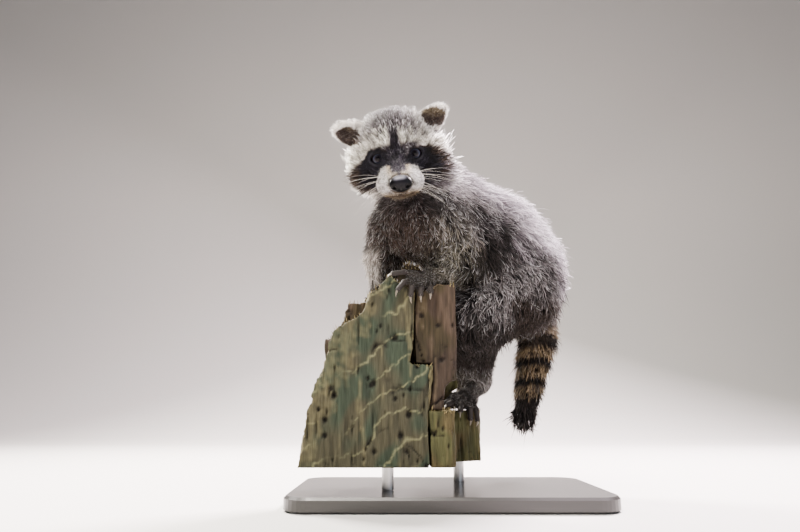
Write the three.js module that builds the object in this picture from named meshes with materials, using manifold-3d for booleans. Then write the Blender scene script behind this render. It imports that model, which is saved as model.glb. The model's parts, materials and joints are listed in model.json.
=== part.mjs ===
// A raccoon kit about nine weeks old, climbing on a broken stump, life size, in millimetres.
// The body is one rounded form, built from tapered limbs and ellipsoids that melt into each
// other, out to the tips of the coat, and it is parted into its named pieces by thin cuts.
// +Z is up, -Y is the side the kit faces, and +X is its own left when it looks that way.
// The origin is the middle of the stand's underside.
import * as THREE from 'three';
import { mergeVertices } from 'three/addons/utils/BufferGeometryUtils.js';
import Module from 'manifold-3d';

const wasm = await Module();
wasm.setup();

// ---------------------------------------------------------------- driving sizes

const GAP = 0.3;                 // clear space between neighbouring pieces
const FAR = 700;                 // half the size of a cutting block
const SHORTEST = 0.04;           // edges that a cut leaves shorter than this are closed up
const FOOTING = 75.6;            // height of the ledge that the hind feet stand on

const BASE = { width: 260, depth: 150, thick: 12, corner: 18, bevel: 2 };
const ROD = { diameter: 10, sides: 16, places: [[-50, -28], [14, 36]] };
const PERCH_FLOOR = 32;          // the stump is sawn off flat here

const EYE = { radius: 6.2, apart: 31.5, back: 0.4, rim: 7.6, opening: 6.9 };
const NOSE = { width: 18.6, depth: 11.6, height: 13.2, place: [0, 36.5, -22] };
const EARS = {
  ear_right: { side: -1, place: [36.3, -22, 25.2], spread: [0.8, 0, 0.32], wide: [12.5, 8.5] },
  ear_left: { side: 1, place: [34.6, -22, 27], spread: [0.8, 0, 0.54], wide: [10.8, 7.6] },
};
const EAR_FACING = [0.25, 0.95, -0.1];
const HEAD = { eyes: [-43, -68, 211.4], pitch: 23, roll: 8.5, yaw: 0.5 };

// The skeleton. Heights are above the ledge.
const SPINE = {
  nape: [-20, -32, 202.4], withers: [16, -14, 174.4], back: [49, 6, 157],
  loin: [70.5, 20, 131], rump: [76, 26, 109],
};
const UNDERLINE = { chest: [-24, -34, 160.4], ribs: [18, -4, 147.4], belly: [44, 10, 116.4] };
const TAIL = [[94, 42, 82.4], [95, 48, 64.4], [90, 48, 44.4], [84, 46, 20.4], [78, 46, -7.6]];
const FORELEG = {
  left: { shoulder: [2.5, -31.5, 156.8], elbow: [7, -29, 125.4], wrist: [-8.3, -43.5, 111.1],
    palm: [-22.4, -55.7, 106] },
  right: { shoulder: [-47.2, -25.5, 162], elbow: [-54.7, -9.3, 136.2], wrist: [-55.5, -8.2, 104.7],
    palm: [-57.5, -18, 97.5] },
};
const HINDLEG = {
  left: { hip: [68.5, 7.6, 107.6], knee: [26.1, -12, 76.7], ankle: [34.2, 34.9, 33.5],
    heel: [37.5, 41, 25], ball: [15.8, 8, 8.5] },
  right: { hip: [52.5, 39.6, 107.6], knee: [12.1, 20, 76.7], ankle: [24.2, 64.9, 33.5],
    heel: [28.5, 73.3, 11], ball: [5.8, 42, 8.5] },
};

// Digits: where each leaves the palm, the way it points round from straight ahead (aim), how
// much its first and last bones rise or drop (degrees), and the length of those two bones.
const DIGITS = {
  hand_left: [
    { root: [-2.6, -1.7, 3], aim: -64, rise: [10, -13], bones: [13, 10.5] },
    { root: [-6, -3.3, 1], aim: -60, rise: [-25, -50], bones: [10.7, 8.5] },
    { root: [-3.5, -4.7, -1.8], aim: -37, rise: [-43, -76], bones: [10, 6.5] },
    { root: [0.6, -4.5, -2.7], aim: -12, rise: [-46, -80], bones: [8.2, 5.5] },
    { root: [6.5, -1.8, -1.2], aim: 7, rise: [-43, -80], bones: [7.8, 5] },
  ],
  foot_left: [
    { root: [-5.3, 0.6, 1.8], aim: -58, rise: [-16, -24], bones: [8.5, 7] },
    { root: [-3.8, -2.1, 0], aim: -42, rise: [-10, -18], bones: [8.7, 7.1] },
    { root: [-0.4, -3.9, -0.9], aim: -14, rise: [-26, -50], bones: [8, 5.6] },
    { root: [4.1, -3.9, -0.9], aim: 17, rise: [-48, -84], bones: [9.2, 7.8] },
    { root: [8, -1.2, -0.9], aim: 38, rise: [-48, -82], bones: [9.2, 8.6] },
  ],
};
const CLAW = { length: 6.5, drop: 28, root: 1.1 };

// ---------------------------------------------------------------- small vector helpers

const vec = (a) => new THREE.Vector3(...a);
const rad = THREE.MathUtils.degToRad;
const raised = ([x, y, z]) => new THREE.Vector3(x, y, z + FOOTING);

/** The head's own frame: its left side, the way it looks and its crown. */
function headFrame() {
  const [pitch, roll, yaw] = [HEAD.pitch, HEAD.roll, HEAD.yaw].map(rad);
  const forward = vec([Math.sin(yaw), -Math.cos(pitch) * Math.cos(yaw), -Math.sin(pitch)]).normalize();
  const level = vec([0, 0, 1]).cross(forward).normalize();
  const lift = forward.clone().cross(level);
  const side = level.clone().multiplyScalar(Math.cos(roll)).addScaledVector(lift, Math.sin(roll));
  const up = lift.clone().multiplyScalar(Math.cos(roll)).addScaledVector(level, -Math.sin(roll));
  return { origin: raised(HEAD.eyes), side, forward, up };
}
const head = headFrame();

/** A direction, and a point, given as (left, forward, up) in the head's frame. */
function headWay([s, f, u]) {
  return new THREE.Vector3().addScaledVector(head.side, s).addScaledVector(head.forward, f)
    .addScaledVector(head.up, u);
}
const headPoint = (a) => headWay(a).add(head.origin);
const headAxes = [head.side, head.forward, head.up];

// ---------------------------------------------------------------- the rounded body

// Each group holds forms that melt into each other; the groups then melt into one body.
const groups = [];
function group(blend) {
  const g = { blend, forms: [] };
  groups.push(g);
  return g;
}

/** A limb from a to b. Radii are the skin's, and coat is the fur's depth over it. */
function limb(g, a, b, radii, coat, melt) {
  const ends = radii.map((r, i) => r + coat[i]);
  const along = b.clone().sub(a);
  g.forms.push({ melt, coat: coat[0], a, along, lengthSq: along.lengthSq(), ends, skin: radii });
}

/** A chain of limbs through the given points. */
function chain(g, points, radii, coats, melt) {
  for (let i = 0; i + 1 < points.length; i++) {
    limb(g, points[i], points[i + 1], [radii[i], radii[i + 1]], [coats[i], coats[i + 1]], melt);
  }
}

/** An ellipsoid with its own axes. */
function blob(g, centre, radii, axes, coat, melt) {
  g.forms.push({ melt, centre, axes, radii: radii.map((r) => r + coat), skin: radii });
}

/** Distance from a point to one form; share is how much of the coat grows there. */
function formDistance(form, p, share) {
  if (form.centre) {
    const d = p.clone().sub(form.centre);
    let near = 0;
    let steep = 0;
    form.axes.forEach((axis, i) => {
      const r = form.skin[i] + (form.radii[i] - form.skin[i]) * share;
      const w = d.dot(axis) / r;
      near += w * w;
      steep += (w / r) ** 2;
    });
    near = Math.sqrt(near);
    return near * (near - 1) / (Math.sqrt(steep) + 1e-9);
  }
  const d = p.clone().sub(form.a);
  const t = THREE.MathUtils.clamp(d.dot(form.along) / form.lengthSq, 0, 1);
  const skin = THREE.MathUtils.lerp(form.skin[0], form.skin[1], t);
  const full = THREE.MathUtils.lerp(form.ends[0], form.ends[1], t);
  return d.addScaledVector(form.along, -t).length() - skin - (full - skin) * share;
}

/** The smaller of two distances, rounded where they are within k of each other. */
function melted(a, b, k) {
  const h = Math.max(k - Math.abs(a - b), 0) / k;
  return Math.min(a, b) - h * h * k / 4;
}

const eyeCentre = (s) => headPoint([s * EYE.apart / 2, -EYE.back, 0]);
const eyeWay = (s) => headWay([s * 0.2, 1, 0.04]).normalize();
const noseCentre = headPoint(NOSE.place);

/** The coat thins to almost nothing round the eyes and the nose. */
function coatShare(p) {
  const nearEye = Math.min(p.distanceTo(eyeCentre(-1)), p.distanceTo(eyeCentre(1)));
  const byEye = THREE.MathUtils.smoothstep(nearEye, EYE.radius, EYE.radius + 16);
  const byNose = THREE.MathUtils.smoothstep(p.distanceTo(noseCentre), 7, 26);
  return Math.max(0.12, Math.min(byEye, byNose));
}

/** Hollows that are cut softly into the body: the ears' cups. */
const hollows = [];
function bodyDistance(p) {
  const share = p.distanceTo(head.origin) < 75 ? coatShare(p) : 1;
  let body = Infinity;
  for (const g of groups) {
    let part = Infinity;
    for (const form of g.forms) {
      const d = formDistance(form, p, share);
      part = part === Infinity ? d : melted(part, d, form.melt);
    }
    body = body === Infinity ? part : melted(body, part, g.blend);
  }
  for (const h of hollows) {
    body = -melted(-body, p.distanceTo(h.centre) - h.radius, h.melt);
  }
  return body;
}

function growTrunk() {
  const g = group(20);
  const { withers, back, loin, rump } = SPINE;
  chain(g, [withers, back, loin, rump].map(raised), [27, 33, 33, 29], [9, 10, 11, 10], 20);
  chain(g, Object.values(UNDERLINE).map(raised), [22, 28.5, 28], [6, 8, 8], 20);
}

function growNeck() {
  const g = group(14);
  limb(g, raised(SPINE.nape), raised(SPINE.withers), [24, 25], [9, 9], 20);
  limb(g, headPoint([0, -22, -16]), raised(UNDERLINE.chest), [20, 22], [7, 7], 16);
}

function growHead() {
  const g = group(10);
  blob(g, headPoint([0, -24, 9]), [32, 32, 27], headAxes, 6, 10);        // braincase
  blob(g, headPoint([0, -6, 3]), [21, 17, 19], headAxes, 4, 10);         // brow
  for (const s of [-1, 1]) {
    blob(g, headPoint([21 * s, -16, -8]), [17, 18, 17], headAxes, s > 0 ? 11 : 8, 10);  // cheek
    blob(g, headPoint([8.8 * s, 21, -22]), [9, 11, 8.5], headAxes, 2.5, 6);   // whisker pad
  }
  limb(g, headPoint([0, 2, -12]), headPoint([0, 31, -20.5]), [15, 8], [3, 2], 8);    // muzzle
  limb(g, headPoint([0, -6, -24]), headPoint([0, 23, -27]), [13, 5.2], [3.5, 2], 8); // jaw
}

function growTail() {
  chain(group(10), TAIL.map(raised), [12, 10, 8.5, 7, 5], [8, 8, 7, 6, 6], 10);
}

function growLegs() {
  const arm = { left: [17, 12, 12, 7], right: [16, 12, 11.5, 8] };
  for (const [side, leg] of Object.entries(FORELEG)) {
    const g = group(9);
    const [shoulder, elbow, wrist] = [leg.shoulder, leg.elbow, leg.wrist].map(raised);
    limb(g, shoulder, elbow, arm[side].slice(0, 2), [7, 6], 14);
    limb(g, elbow, wrist, arm[side].slice(2), [6, 3.5], 8);
  }
  for (const leg of Object.values(HINDLEG)) {
    const g = group(10);
    const [hip, knee, ankle] = [leg.hip, leg.knee, leg.ankle].map(raised);
    limb(g, hip, knee, [29, 20], [10, 8], 16);
    limb(g, knee, ankle, [19, 8.5], [8, 4.5], 10);
  }
  for (const leg of Object.values(FORELEG)) {
    limb(group(4), raised(leg.wrist), raised(leg.palm), [6.5, 6], [2, 1], 4);
  }
  for (const leg of Object.values(HINDLEG)) {
    chain(group(4), [leg.ankle, leg.heel, leg.ball].map(raised), [8, 7, 6.5], [3, 2, 1], 6);
  }
}

/** An ear is two flattened ellipsoids, one over the other, with a cup in front. */
const earFrames = {};
function growEars() {
  for (const [name, ear] of Object.entries(EARS)) {
    const mirrored = ([a, b, c]) => [a * ear.side, b, c];
    const centre = headPoint(mirrored(ear.place));
    const out = headWay(mirrored(ear.spread)).normalize();
    const facing = headWay(mirrored(EAR_FACING));
    facing.addScaledVector(out, -facing.dot(out)).normalize();
    const axes = [out.clone().cross(facing), facing, out];
    const g = group(5);
    blob(g, centre.clone().addScaledVector(out, -5), [ear.wide[0], 4.5, 12], axes, 2, 6);
    blob(g, centre.clone().addScaledVector(out, 5), [ear.wide[1], 3.5, 11], axes, 2, 6);
    hollows.push({ centre: centre.clone().addScaledVector(facing, 11.5), radius: 11, melt: 3 });
    earFrames[name] = { centre, out };
  }
}

// ---------------------------------------------------------------- meshes and solids

/** A closed solid from vertices and triangles. */
function solidOf(vertices, triangles) {
  return new wasm.Manifold(new wasm.Mesh({
    numProp: 3,
    vertProperties: new Float32Array(vertices),
    triVerts: new Uint32Array(triangles),
    tolerance: SHORTEST,
  }));
}

/** A closed solid from a three.js geometry and the matrix that places it. */
function solidFrom(geometry, matrix = new THREE.Matrix4()) {
  const bare = geometry.clone();
  bare.deleteAttribute('normal');
  bare.deleteAttribute('uv');
  bare.applyMatrix4(matrix);
  const merged = mergeVertices(bare, 1e-4);
  return solidOf(merged.attributes.position.array, merged.index.array);
}

/** A cut can leave crumbs of a few cubic millimetres: only the biggest body is kept. */
function withoutCrumbs(solid) {
  return solid.decompose().reduce((a, b) => (a.volume() > b.volume() ? a : b));
}

function geometryOf(solid) {
  const mesh = solid.getMesh();
  const geometry = new THREE.BufferGeometry();
  geometry.setAttribute('position', new THREE.BufferAttribute(mesh.vertProperties, 3));
  geometry.setIndex(new THREE.BufferAttribute(mesh.triVerts, 1));
  geometry.computeVertexNormals();
  return geometry;
}

/** The surface where a distance is zero, as a closed solid on a grid of the given cell. */
function surfaceNet(distance, low, high, cell) {
  const n = ['x', 'y', 'z'].map((k) => Math.ceil((high[k] - low[k]) / cell) + 2);
  const at = (i, j, k) => (i * n[1] + j) * n[2] + k;
  const value = new Float32Array(n[0] * n[1] * n[2]);
  for (let i = 0; i < n[0]; i++) {
    for (let j = 0; j < n[1]; j++) {
      for (let k = 0; k < n[2]; k++) {
        const rim = !i || !j || !k || i === n[0] - 1 || j === n[1] - 1 || k === n[2] - 1;
        const p = new THREE.Vector3(i, j, k).multiplyScalar(cell).add(low);
        value[at(i, j, k)] = rim ? cell : distance(p);
      }
    }
  }
  const vertices = [];
  const index = new Int32Array(value.length).fill(-1);
  const edges = cubeEdges();
  for (let i = 0; i + 1 < n[0]; i++) {
    for (let j = 0; j + 1 < n[1]; j++) {
      for (let k = 0; k + 1 < n[2]; k++) {
        const sum = new THREE.Vector3();
        let hits = 0;
        for (const [a, b] of edges) {
          const va = value[at(i + a[0], j + a[1], k + a[2])];
          const vb = value[at(i + b[0], j + b[1], k + b[2])];
          if ((va < 0) === (vb < 0)) continue;
          sum.add(vec(a).lerp(vec(b), va / (va - vb)));
          hits += 1;
        }
        if (!hits) continue;
        index[at(i, j, k)] = vertices.length / 3;
        sum.divideScalar(hits).add(new THREE.Vector3(i, j, k)).multiplyScalar(cell).add(low);
        vertices.push(sum.x, sum.y, sum.z);
      }
    }
  }
  return solidOf(vertices, netTriangles(value, index, n, at));
}

/** The twelve edges of a unit cube, as pairs of corners. */
function cubeEdges() {
  const corners = [...Array(8).keys()].map((c) => [c >> 2 & 1, c >> 1 & 1, c & 1]);
  const edges = [];
  for (const a of corners) {
    for (const b of corners) {
      const step = b.map((v, i) => v - a[i]);
      if (step.every((v) => v >= 0) && step.reduce((s, v) => s + v, 0) === 1) edges.push([a, b]);
    }
  }
  return edges;
}

/** Two triangles across each grid edge that the surface crosses. */
function netTriangles(value, index, n, at) {
  const triangles = [];
  for (let i = 0; i + 1 < n[0]; i++) {
    for (let j = 0; j + 1 < n[1]; j++) {
      for (let k = 0; k + 1 < n[2]; k++) {
        for (let axis = 0; axis < 3; axis++) {
          const step = [0, 1, 2].map((d) => (d === axis ? 1 : 0));
          const here = value[at(i, j, k)] < 0;
          if (here === value[at(i + step[0], j + step[1], k + step[2])] < 0) continue;
          const u = [0, 1, 2].map((d) => (d === (axis + 1) % 3 ? 1 : 0));
          const v = [0, 1, 2].map((d) => (d === (axis + 2) % 3 ? 1 : 0));
          const quad = [[0, 0], [1, 0], [1, 1], [0, 1]].map(([p, q]) => index[at(
            i - p * u[0] - q * v[0], j - p * u[1] - q * v[1], k - p * u[2] - q * v[2])]);
          if (!here) quad.reverse();
          triangles.push(quad[0], quad[1], quad[2], quad[0], quad[2], quad[3]);
        }
      }
    }
  }
  return triangles;
}

/** A tapered tube through the points, flat at its root and pointed at its tip. */
function taperedTube(points, radii, sides) {
  const vertices = [];
  const last = points.length - 1;
  const side = vec([0, 0, 1]).cross(points[1].clone().sub(points[0])).normalize();
  for (let i = 0; i < last; i++) {
    const along = points[i + 1].clone().sub(points[Math.max(i - 1, 0)]).normalize();
    const across = side.clone().addScaledVector(along, -side.dot(along)).normalize();
    const over = along.clone().cross(across);
    for (let s = 0; s < sides; s++) {
      const turn = 2 * Math.PI * s / sides;
      const p = points[i].clone().addScaledVector(across, radii[i] * Math.cos(turn))
        .addScaledVector(over, radii[i] * Math.sin(turn));
      vertices.push(p.x, p.y, p.z);
    }
  }
  const triangles = [];
  const tip = vertices.length / 3;
  vertices.push(...points[last].toArray(), ...points[0].toArray());
  for (let s = 0; s < sides; s++) {
    const next = (s + 1) % sides;
    for (let i = 0; i + 1 < last; i++) {
      const [a, b] = [i * sides + s, i * sides + next];
      triangles.push(a, b, b + sides, a, b + sides, a + sides);
    }
    triangles.push((last - 1) * sides + s, (last - 1) * sides + next, tip, next, s, tip + 1);
  }
  return solidOf(vertices, triangles);
}

// ---------------------------------------------------------------- digits

/** The way a digit's bone points: round from straight ahead, and up or down. */
function boneWay(aim, rise) {
  const [a, r] = [rad(aim), rad(rise)];
  return vec([Math.sin(a) * Math.cos(r), -Math.cos(a) * Math.cos(r), Math.sin(r)]);
}

/** One finger or toe with its claw, as a tube of five sides. */
function digit(palm, { root, aim, rise, bones }, thick) {
  const knuckle = palm.clone().add(vec(root));
  const first = knuckle.clone().addScaledVector(boneWay(aim, rise[0]), bones[0]);
  const pad = first.clone().addScaledVector(boneWay(aim, rise[1]), bones[1]);
  const claw = pad.clone().addScaledVector(boneWay(aim, rise[1] - 4), CLAW.length / 2);
  const drop = Math.max(rise[1] - CLAW.drop, -90);
  const tip = claw.clone().addScaledVector(boneWay(aim, drop), CLAW.length / 2);
  const inner = palm.clone().lerp(knuckle, 0.25);
  return taperedTube([inner, first, pad, claw, tip], [thick, thick * 0.92, thick * 0.8, CLAW.root], 5);
}

/** The same five digits fanned evenly, for the limbs that stand flat. */
function fan(spread, middle, reach) {
  return [...Array(5).keys()].map((i) => {
    const aim = middle + spread * (i - 2);
    const root = boneWay(aim, -14).multiplyScalar(4).toArray();
    return { root, aim, rise: [-14, -10], bones: [reach * 0.55, reach * 0.45] };
  });
}
DIGITS.hand_right = fan(20, 0, 14);
DIGITS.foot_right = fan(19.5, -23, 16);

// ---------------------------------------------------------------- cuts between the parts

/** Everything beyond a plane, as a big block; grow moves the plane back. */
function beyond(point, way, grow) {
  const turn = new THREE.Quaternion().setFromUnitVectors(vec([0, 0, 1]), way.clone().normalize());
  const middle = point.clone().addScaledVector(way.clone().normalize(), FAR - grow);
  const matrix = new THREE.Matrix4().compose(middle, turn, vec([1, 1, 1]));
  return solidFrom(new THREE.BoxGeometry(2 * FAR, 2 * FAR, 2 * FAR), matrix);
}

/** The space that all the given planes share. */
function region(planes, grow = 0) {
  return planes.map(([point, way]) => beyond(point, way, grow)).reduce((a, b) => a.intersect(b));
}

const DOWN = vec([0, 0, -1]);
const UP = vec([0, 0, 1]);
const LEFTWARD = vec([1, 0, 0]);
const RIGHTWARD = vec([-1, 0, 0]);
const FRONTWARD = vec([0, -1, 0]);
const level = (z) => raised([0, 0, z]);

/** The planes that bound each part, in the order in which the parts are taken off. */
function cuts() {
  const nod = [headPoint([0, -2, -42]), headWay([-0.2, 0.435, 0.877])];
  const crown = [headPoint([0, 0, 6]), head.up];
  const mouth = headPoint([0, 4, -26]);
  const arm = (leg, share) => raised(leg.elbow).lerp(raised(leg.wrist), share);
  const reach = raised(FORELEG.left.wrist).sub(raised(FORELEG.left.elbow));
  const between = raised([19, 4, 76.4]);
  const soles = raised([13.9, 24.8, 0]);
  const [leftSide, rightSide] = [vec([0.54, -0.84, 0]), vec([-0.54, 0.84, 0])];
  const groin = raised([60.6, 28.4, 78.4]);
  const list = {};
  for (const [name, ear] of Object.entries(earFrames)) {
    list[name] = [crown, [ear.centre.clone().addScaledVector(ear.out, -8), ear.out]];
  }
  const snout = [[headPoint([-20, 0, 0]), head.side], [headPoint([20, 0, 0]), head.side.clone().negate()]];
  list.jaw = [nod, [mouth, headWay([0, 0, -1])], [mouth, head.forward], ...snout];
  list.muzzle = [[mouth, head.up], [headPoint([0, 8, -14]), headWay([0, 1, -0.6])], ...snout];
  list.face = [nod, [headPoint([0, -15, 0]), head.forward]];
  list.head = [nod];
  list.hand_right = [[arm(FORELEG.right, 0.92), vec([-0.12, -0.86, -0.49])], [raised([-38, 0, 0]), RIGHTWARD],
    [level(118), DOWN]];
  list.forearm_right = [[level(132), DOWN], [raised([-38, 0, 0]), RIGHTWARD]];
  list.upper_arm_right = [[level(156), DOWN], [raised([-39, 0, 0]), RIGHTWARD]];
  const overStump = [[level(121), DOWN], [level(88), UP], [raised([0, -24, 0]), FRONTWARD]];
  list.hand_left = [[arm(FORELEG.left, 1.1), reach], ...overStump];
  list.forearm_left = [[arm(FORELEG.left, 0.3), reach], ...overStump];
  list.upper_arm_left = [[level(147), DOWN], [raised([0, -25, 0]), FRONTWARD], [level(95), UP],
    [raised([-14, 0, 0]), LEFTWARD], [raised([36, 0, 0]), RIGHTWARD]];
  list.neck = [[raised([2, -22, 177]), vec([-0.4, -0.2, 0.89])]];
  list.tail_tip = [[level(10), DOWN], [raised([62, 0, 0]), LEFTWARD]];
  list.tail_middle = [[level(40), DOWN], [raised([62, 0, 0]), LEFTWARD]];
  list.tail_base = [[level(68), DOWN], [raised([66, 0, 0]), LEFTWARD]];
  list.foot_left = [[level(27), DOWN], [soles, vec([0.826, -0.563, 0])]];
  list.foot_right = [[level(27), DOWN]];
  list.shank_left = [[level(53), DOWN], [between, vec([0.266, -0.69, -0.674])]];
  list.shank_right = [[level(53), DOWN]];
  list.thigh_left = [[raised([62.8, 25, 78.4]), vec([0.409, -0.636, -0.653])], [groin, leftSide]];
  list.thigh_right = [[raised([59.5, 30.1, 78.4]), vec([-0.443, 0.689, -0.57])], [groin, rightSide]];
  list.trunk = [];
  return list;
}

/** The grid cell for each part, finer where the form is smaller. */
const CELLS = {
  ear_left: 5, ear_right: 5.2, jaw: 6.2, muzzle: 6, face: 8, head: 10.2, neck: 13, trunk: 14.6,
  hand_left: 5.6, hand_right: 5.6, foot_left: 5.6, foot_right: 5.7, forearm_left: 7.6,
  forearm_right: 8, upper_arm_left: 10, upper_arm_right: 10, thigh_left: 12.7,
  thigh_right: 13, shank_left: 9.4, shank_right: 9.4, tail_base: 9.6, tail_middle: 8.4,
  tail_tip: 7,
};

const BODY_LOW = vec([-125, -125, 40]);
const BODY_HIGH = vec([150, 115, 350]);

/** Each part of the body, cut from the whole and clear of the parts taken off before it. */
function bodyParts() {
  const taken = [];
  const parts = {};
  const whole = new THREE.Box3(BODY_LOW, BODY_HIGH);
  for (const [name, planes] of Object.entries(cuts())) {
    const cell = CELLS[name];
    const room = solidFrom(new THREE.BoxGeometry(...BODY_HIGH.clone().sub(BODY_LOW).toArray()),
      new THREE.Matrix4().setPosition(BODY_LOW.clone().add(BODY_HIGH).multiplyScalar(0.5)));
    const space = planes.length ? room.intersect(region(planes)) : room;
    const box = space.boundingBox();
    const low = vec(box.min).subScalar(2 * cell).max(whole.min);
    const high = vec(box.max).addScalar(2 * cell).min(whole.max);
    let part = surfaceNet(bodyDistance, low, high, cell).intersect(space);
    for (const other of taken) part = part.subtract(other);
    parts[name] = withoutCrumbs(part);
    if (planes.length) taken.push(region(planes, GAP));
  }
  return parts;
}

// ---------------------------------------------------------------- eyes, nose, digits

/** An ellipsoid mesh in the head's frame, whose third axis is turned to keep it right-handed. */
function headBall(centre, size, across, down) {
  const matrix = new THREE.Matrix4().makeBasis(head.side, head.forward, head.up.clone().negate());
  matrix.setPosition(centre);
  matrix.scale(vec(size).multiplyScalar(0.5));
  return solidFrom(new THREE.SphereGeometry(1, across, down), matrix);
}

function faceParts(parts) {
  for (const [name, s] of [['eye_left', 1], ['eye_right', -1]]) {
    const ball = (r) => headBall(eyeCentre(s), [2 * r, 2 * r, 2 * r], 12, 8);
    parts[name] = ball(EYE.radius);
    const orbit = ball(EYE.rim).translate(eyeWay(s).multiplyScalar(EYE.opening).toArray());
    parts.face = parts.face.subtract(ball(EYE.radius + GAP)).subtract(orbit);
  }
  const pad = (grow) => headBall(noseCentre,
    [NOSE.width, NOSE.depth, NOSE.height].map((v) => v + 2 * grow), 12, 7);
  parts.nose = pad(0);
  parts.muzzle = parts.muzzle.subtract(pad(GAP));
  parts.jaw = parts.jaw.subtract(pad(GAP));
}

function addDigits(parts) {
  const palms = { hand_left: FORELEG.left.palm, hand_right: FORELEG.right.palm,
    foot_left: HINDLEG.left.ball, foot_right: HINDLEG.right.ball };
  for (const [name, palm] of Object.entries(palms)) {
    const thick = name.startsWith('hand') ? 2.7 : 3;
    for (const bone of DIGITS[name]) parts[name] = parts[name].add(digit(raised(palm), bone, thick));
  }
}

// ---------------------------------------------------------------- the stump

/** A block whose plan is the outline, between two heights. */
function block(outline, low, high) {
  const shape = new THREE.Shape(outline.map(([x, y]) => new THREE.Vector2(x, y)));
  const prism = new THREE.ExtrudeGeometry(shape, { depth: high - low, bevelEnabled: false });
  return solidFrom(prism, new THREE.Matrix4().setPosition(0, 0, low));
}

/** A board whose face is the outline in X and Z, between two depths. */
function board(outline, front, rear) {
  const shape = new THREE.Shape(outline.map(([x, z]) => new THREE.Vector2(x, z)));
  const prism = new THREE.ExtrudeGeometry(shape, { depth: rear - front, bevelEnabled: false });
  const upright = new THREE.Matrix4().makeRotationX(Math.PI / 2).setPosition(0, rear, 0);
  return solidFrom(prism, upright);
}

const SLAB = { front: -61.5, rear: -43, seam: -27.5, top: 186 };

/** The weathered outer slab: broken on its left, and higher where the hand holds it. */
function slab() {
  const brokenEdge = [[-50, 186], [-58, 176], [-64, 170], [-68, 158], [-78, 149], [-88, 144], [-95, 139],
    [-97, 131], [-99.5, 116], [-102, 107], [-108, 96], [-110.5, 84], [-114, 68], [-117, 47],
    [-119, PERCH_FLOOR]];
  const seam = [[-17, PERCH_FLOOR], [-17, 71], [-13, 112], [-33, 113], [-30, 130], [-27.5, 165],
    [-27.5, 172], [-36, 176], [-44, 181]];
  return board([...brokenEdge, ...seam], SLAB.front, SLAB.rear);
}

/** The brown wood behind and beside the slab, with a shelf for the right hand. */
function heartwood() {
  const plan = [[-104, -42.7], [-27.2, -42.7], [-27.2, -56], [5, -56], [7, -42], [-4, -22],
    [-26, -3], [-60, 2], [-84, -2], [-98, -18]];
  const tall = block(plan, PERCH_FLOOR, 178.6);
  const overhead = [[-130, 200], [-130, 128], [-92, 138], [-84, 165], [-41, 165.4], [-39.5, 183],
    [-33, 187], [-28, 183], [-24, 178], [-24, 200]];
  const toeRoom = [[-17.3, 0], [-17.3, FOOTING + GAP], [-4, FOOTING + GAP], [-3, 93], [2, 99], [30, 99], [30, 0]];
  const spike = [[-42, 160], [-42, 192], [-39, 199], [-36, 202.4], [-32, 202.8], [-29, 201.2], [-26, 200.4],
    [-22, 198.4], [-18, 195], [-15, 186], [-14, 160]];
  return [overhead, toeRoom].map((outline) => board(outline, -90, 60))
    .reduce((wood, room) => wood.subtract(room), tall)
    .add(board(spike, -30, -20))
    .subtract(clearOfSlab()).subtract(clearOfHand());
}

/** The left hand's own room, a little larger than the palm, the wrist and the fingers. */
function clearOfHand() {
  const { elbow, wrist, palm } = FORELEG.left;
  const ball = (place, radius) => solidFrom(new THREE.SphereGeometry(radius, 12, 8),
    new THREE.Matrix4().setPosition(raised(place)));
  const room = [ball(palm, 8.8), ball(wrist, 10.8), ball(elbow, 17)];
  const fingers = DIGITS.hand_left.map((bone) => digit(raised(palm), bone, 2.7 + 3 * GAP));
  return wasm.Manifold.union([wasm.Manifold.hull(room.slice(0, 2)), wasm.Manifold.hull(room.slice(1)),
    ...fingers]);
}

/** The slab's own room, a little larger than the slab. */
function clearOfSlab() {
  const grown = [[-140, 0], [-16.7, 0], [-16.7, 71], [-12.7, 112.3], [-32.7, 113.3], [-29.7, 130],
    [-27.2, 165], [-27.2, 200], [-140, 200]];
  return board(grown, -80, SLAB.rear + GAP);
}

/** The ledge, which runs from under the brown wood's end to behind both hind feet. */
function ledge() {
  const plan = [[-16.4, -60.5], [1, -60], [4, -54], [4, -30], [3, -10], [8, -4], [14, -1.8], [22, 2.6],
    [31, 9], [34, 34], [37, 62], [39, 84], [14, 92], [-18, 82], [-30, 50], [-25.7, -2.5],
    [-16.6, -10.6], [-16.6, -42]];
  const splinter = [[-18, 70], [-18, 98], [-9, 103], [-3, 99], [2, 104], [7, 107], [10, 103], [12, 105],
    [12.5, 96], [9, 92], [6, 89], [6, 84], [7, 70]];
  return block(plan, PERCH_FLOOR, FOOTING).add(board(splinter, 10.5, 15.5));
}

// ---------------------------------------------------------------- the display stand

function standBase() {
  const { width, depth, corner, bevel, thick } = BASE;
  const [x, y] = [width / 2 - bevel, depth / 2 - bevel];
  const shape = new THREE.Shape();
  shape.moveTo(-x + corner, -y);
  shape.lineTo(x - corner, -y);
  shape.absarc(x - corner, -y + corner, corner, -Math.PI / 2, 0);
  shape.absarc(x - corner, y - corner, corner, 0, Math.PI / 2);
  shape.absarc(-x + corner, y - corner, corner, Math.PI / 2, Math.PI);
  shape.absarc(-x + corner, -y + corner, corner, Math.PI, 1.5 * Math.PI);
  const plate = new THREE.ExtrudeGeometry(shape, { depth: thick - 2 * bevel, curveSegments: 4,
    bevelThickness: bevel, bevelSize: bevel, bevelSegments: 1 });
  return solidFrom(plate, new THREE.Matrix4().setPosition(0, 0, bevel));
}

function standRod([x, y]) {
  const length = PERCH_FLOOR - BASE.thick - 2 * GAP;
  const rod = new THREE.CylinderGeometry(ROD.diameter / 2, ROD.diameter / 2, length, ROD.sides);
  rod.rotateX(Math.PI / 2);
  return solidFrom(rod, new THREE.Matrix4().setPosition(x, y, (PERCH_FLOOR + BASE.thick) / 2));
}

// ---------------------------------------------------------------- colours and assembly

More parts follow.
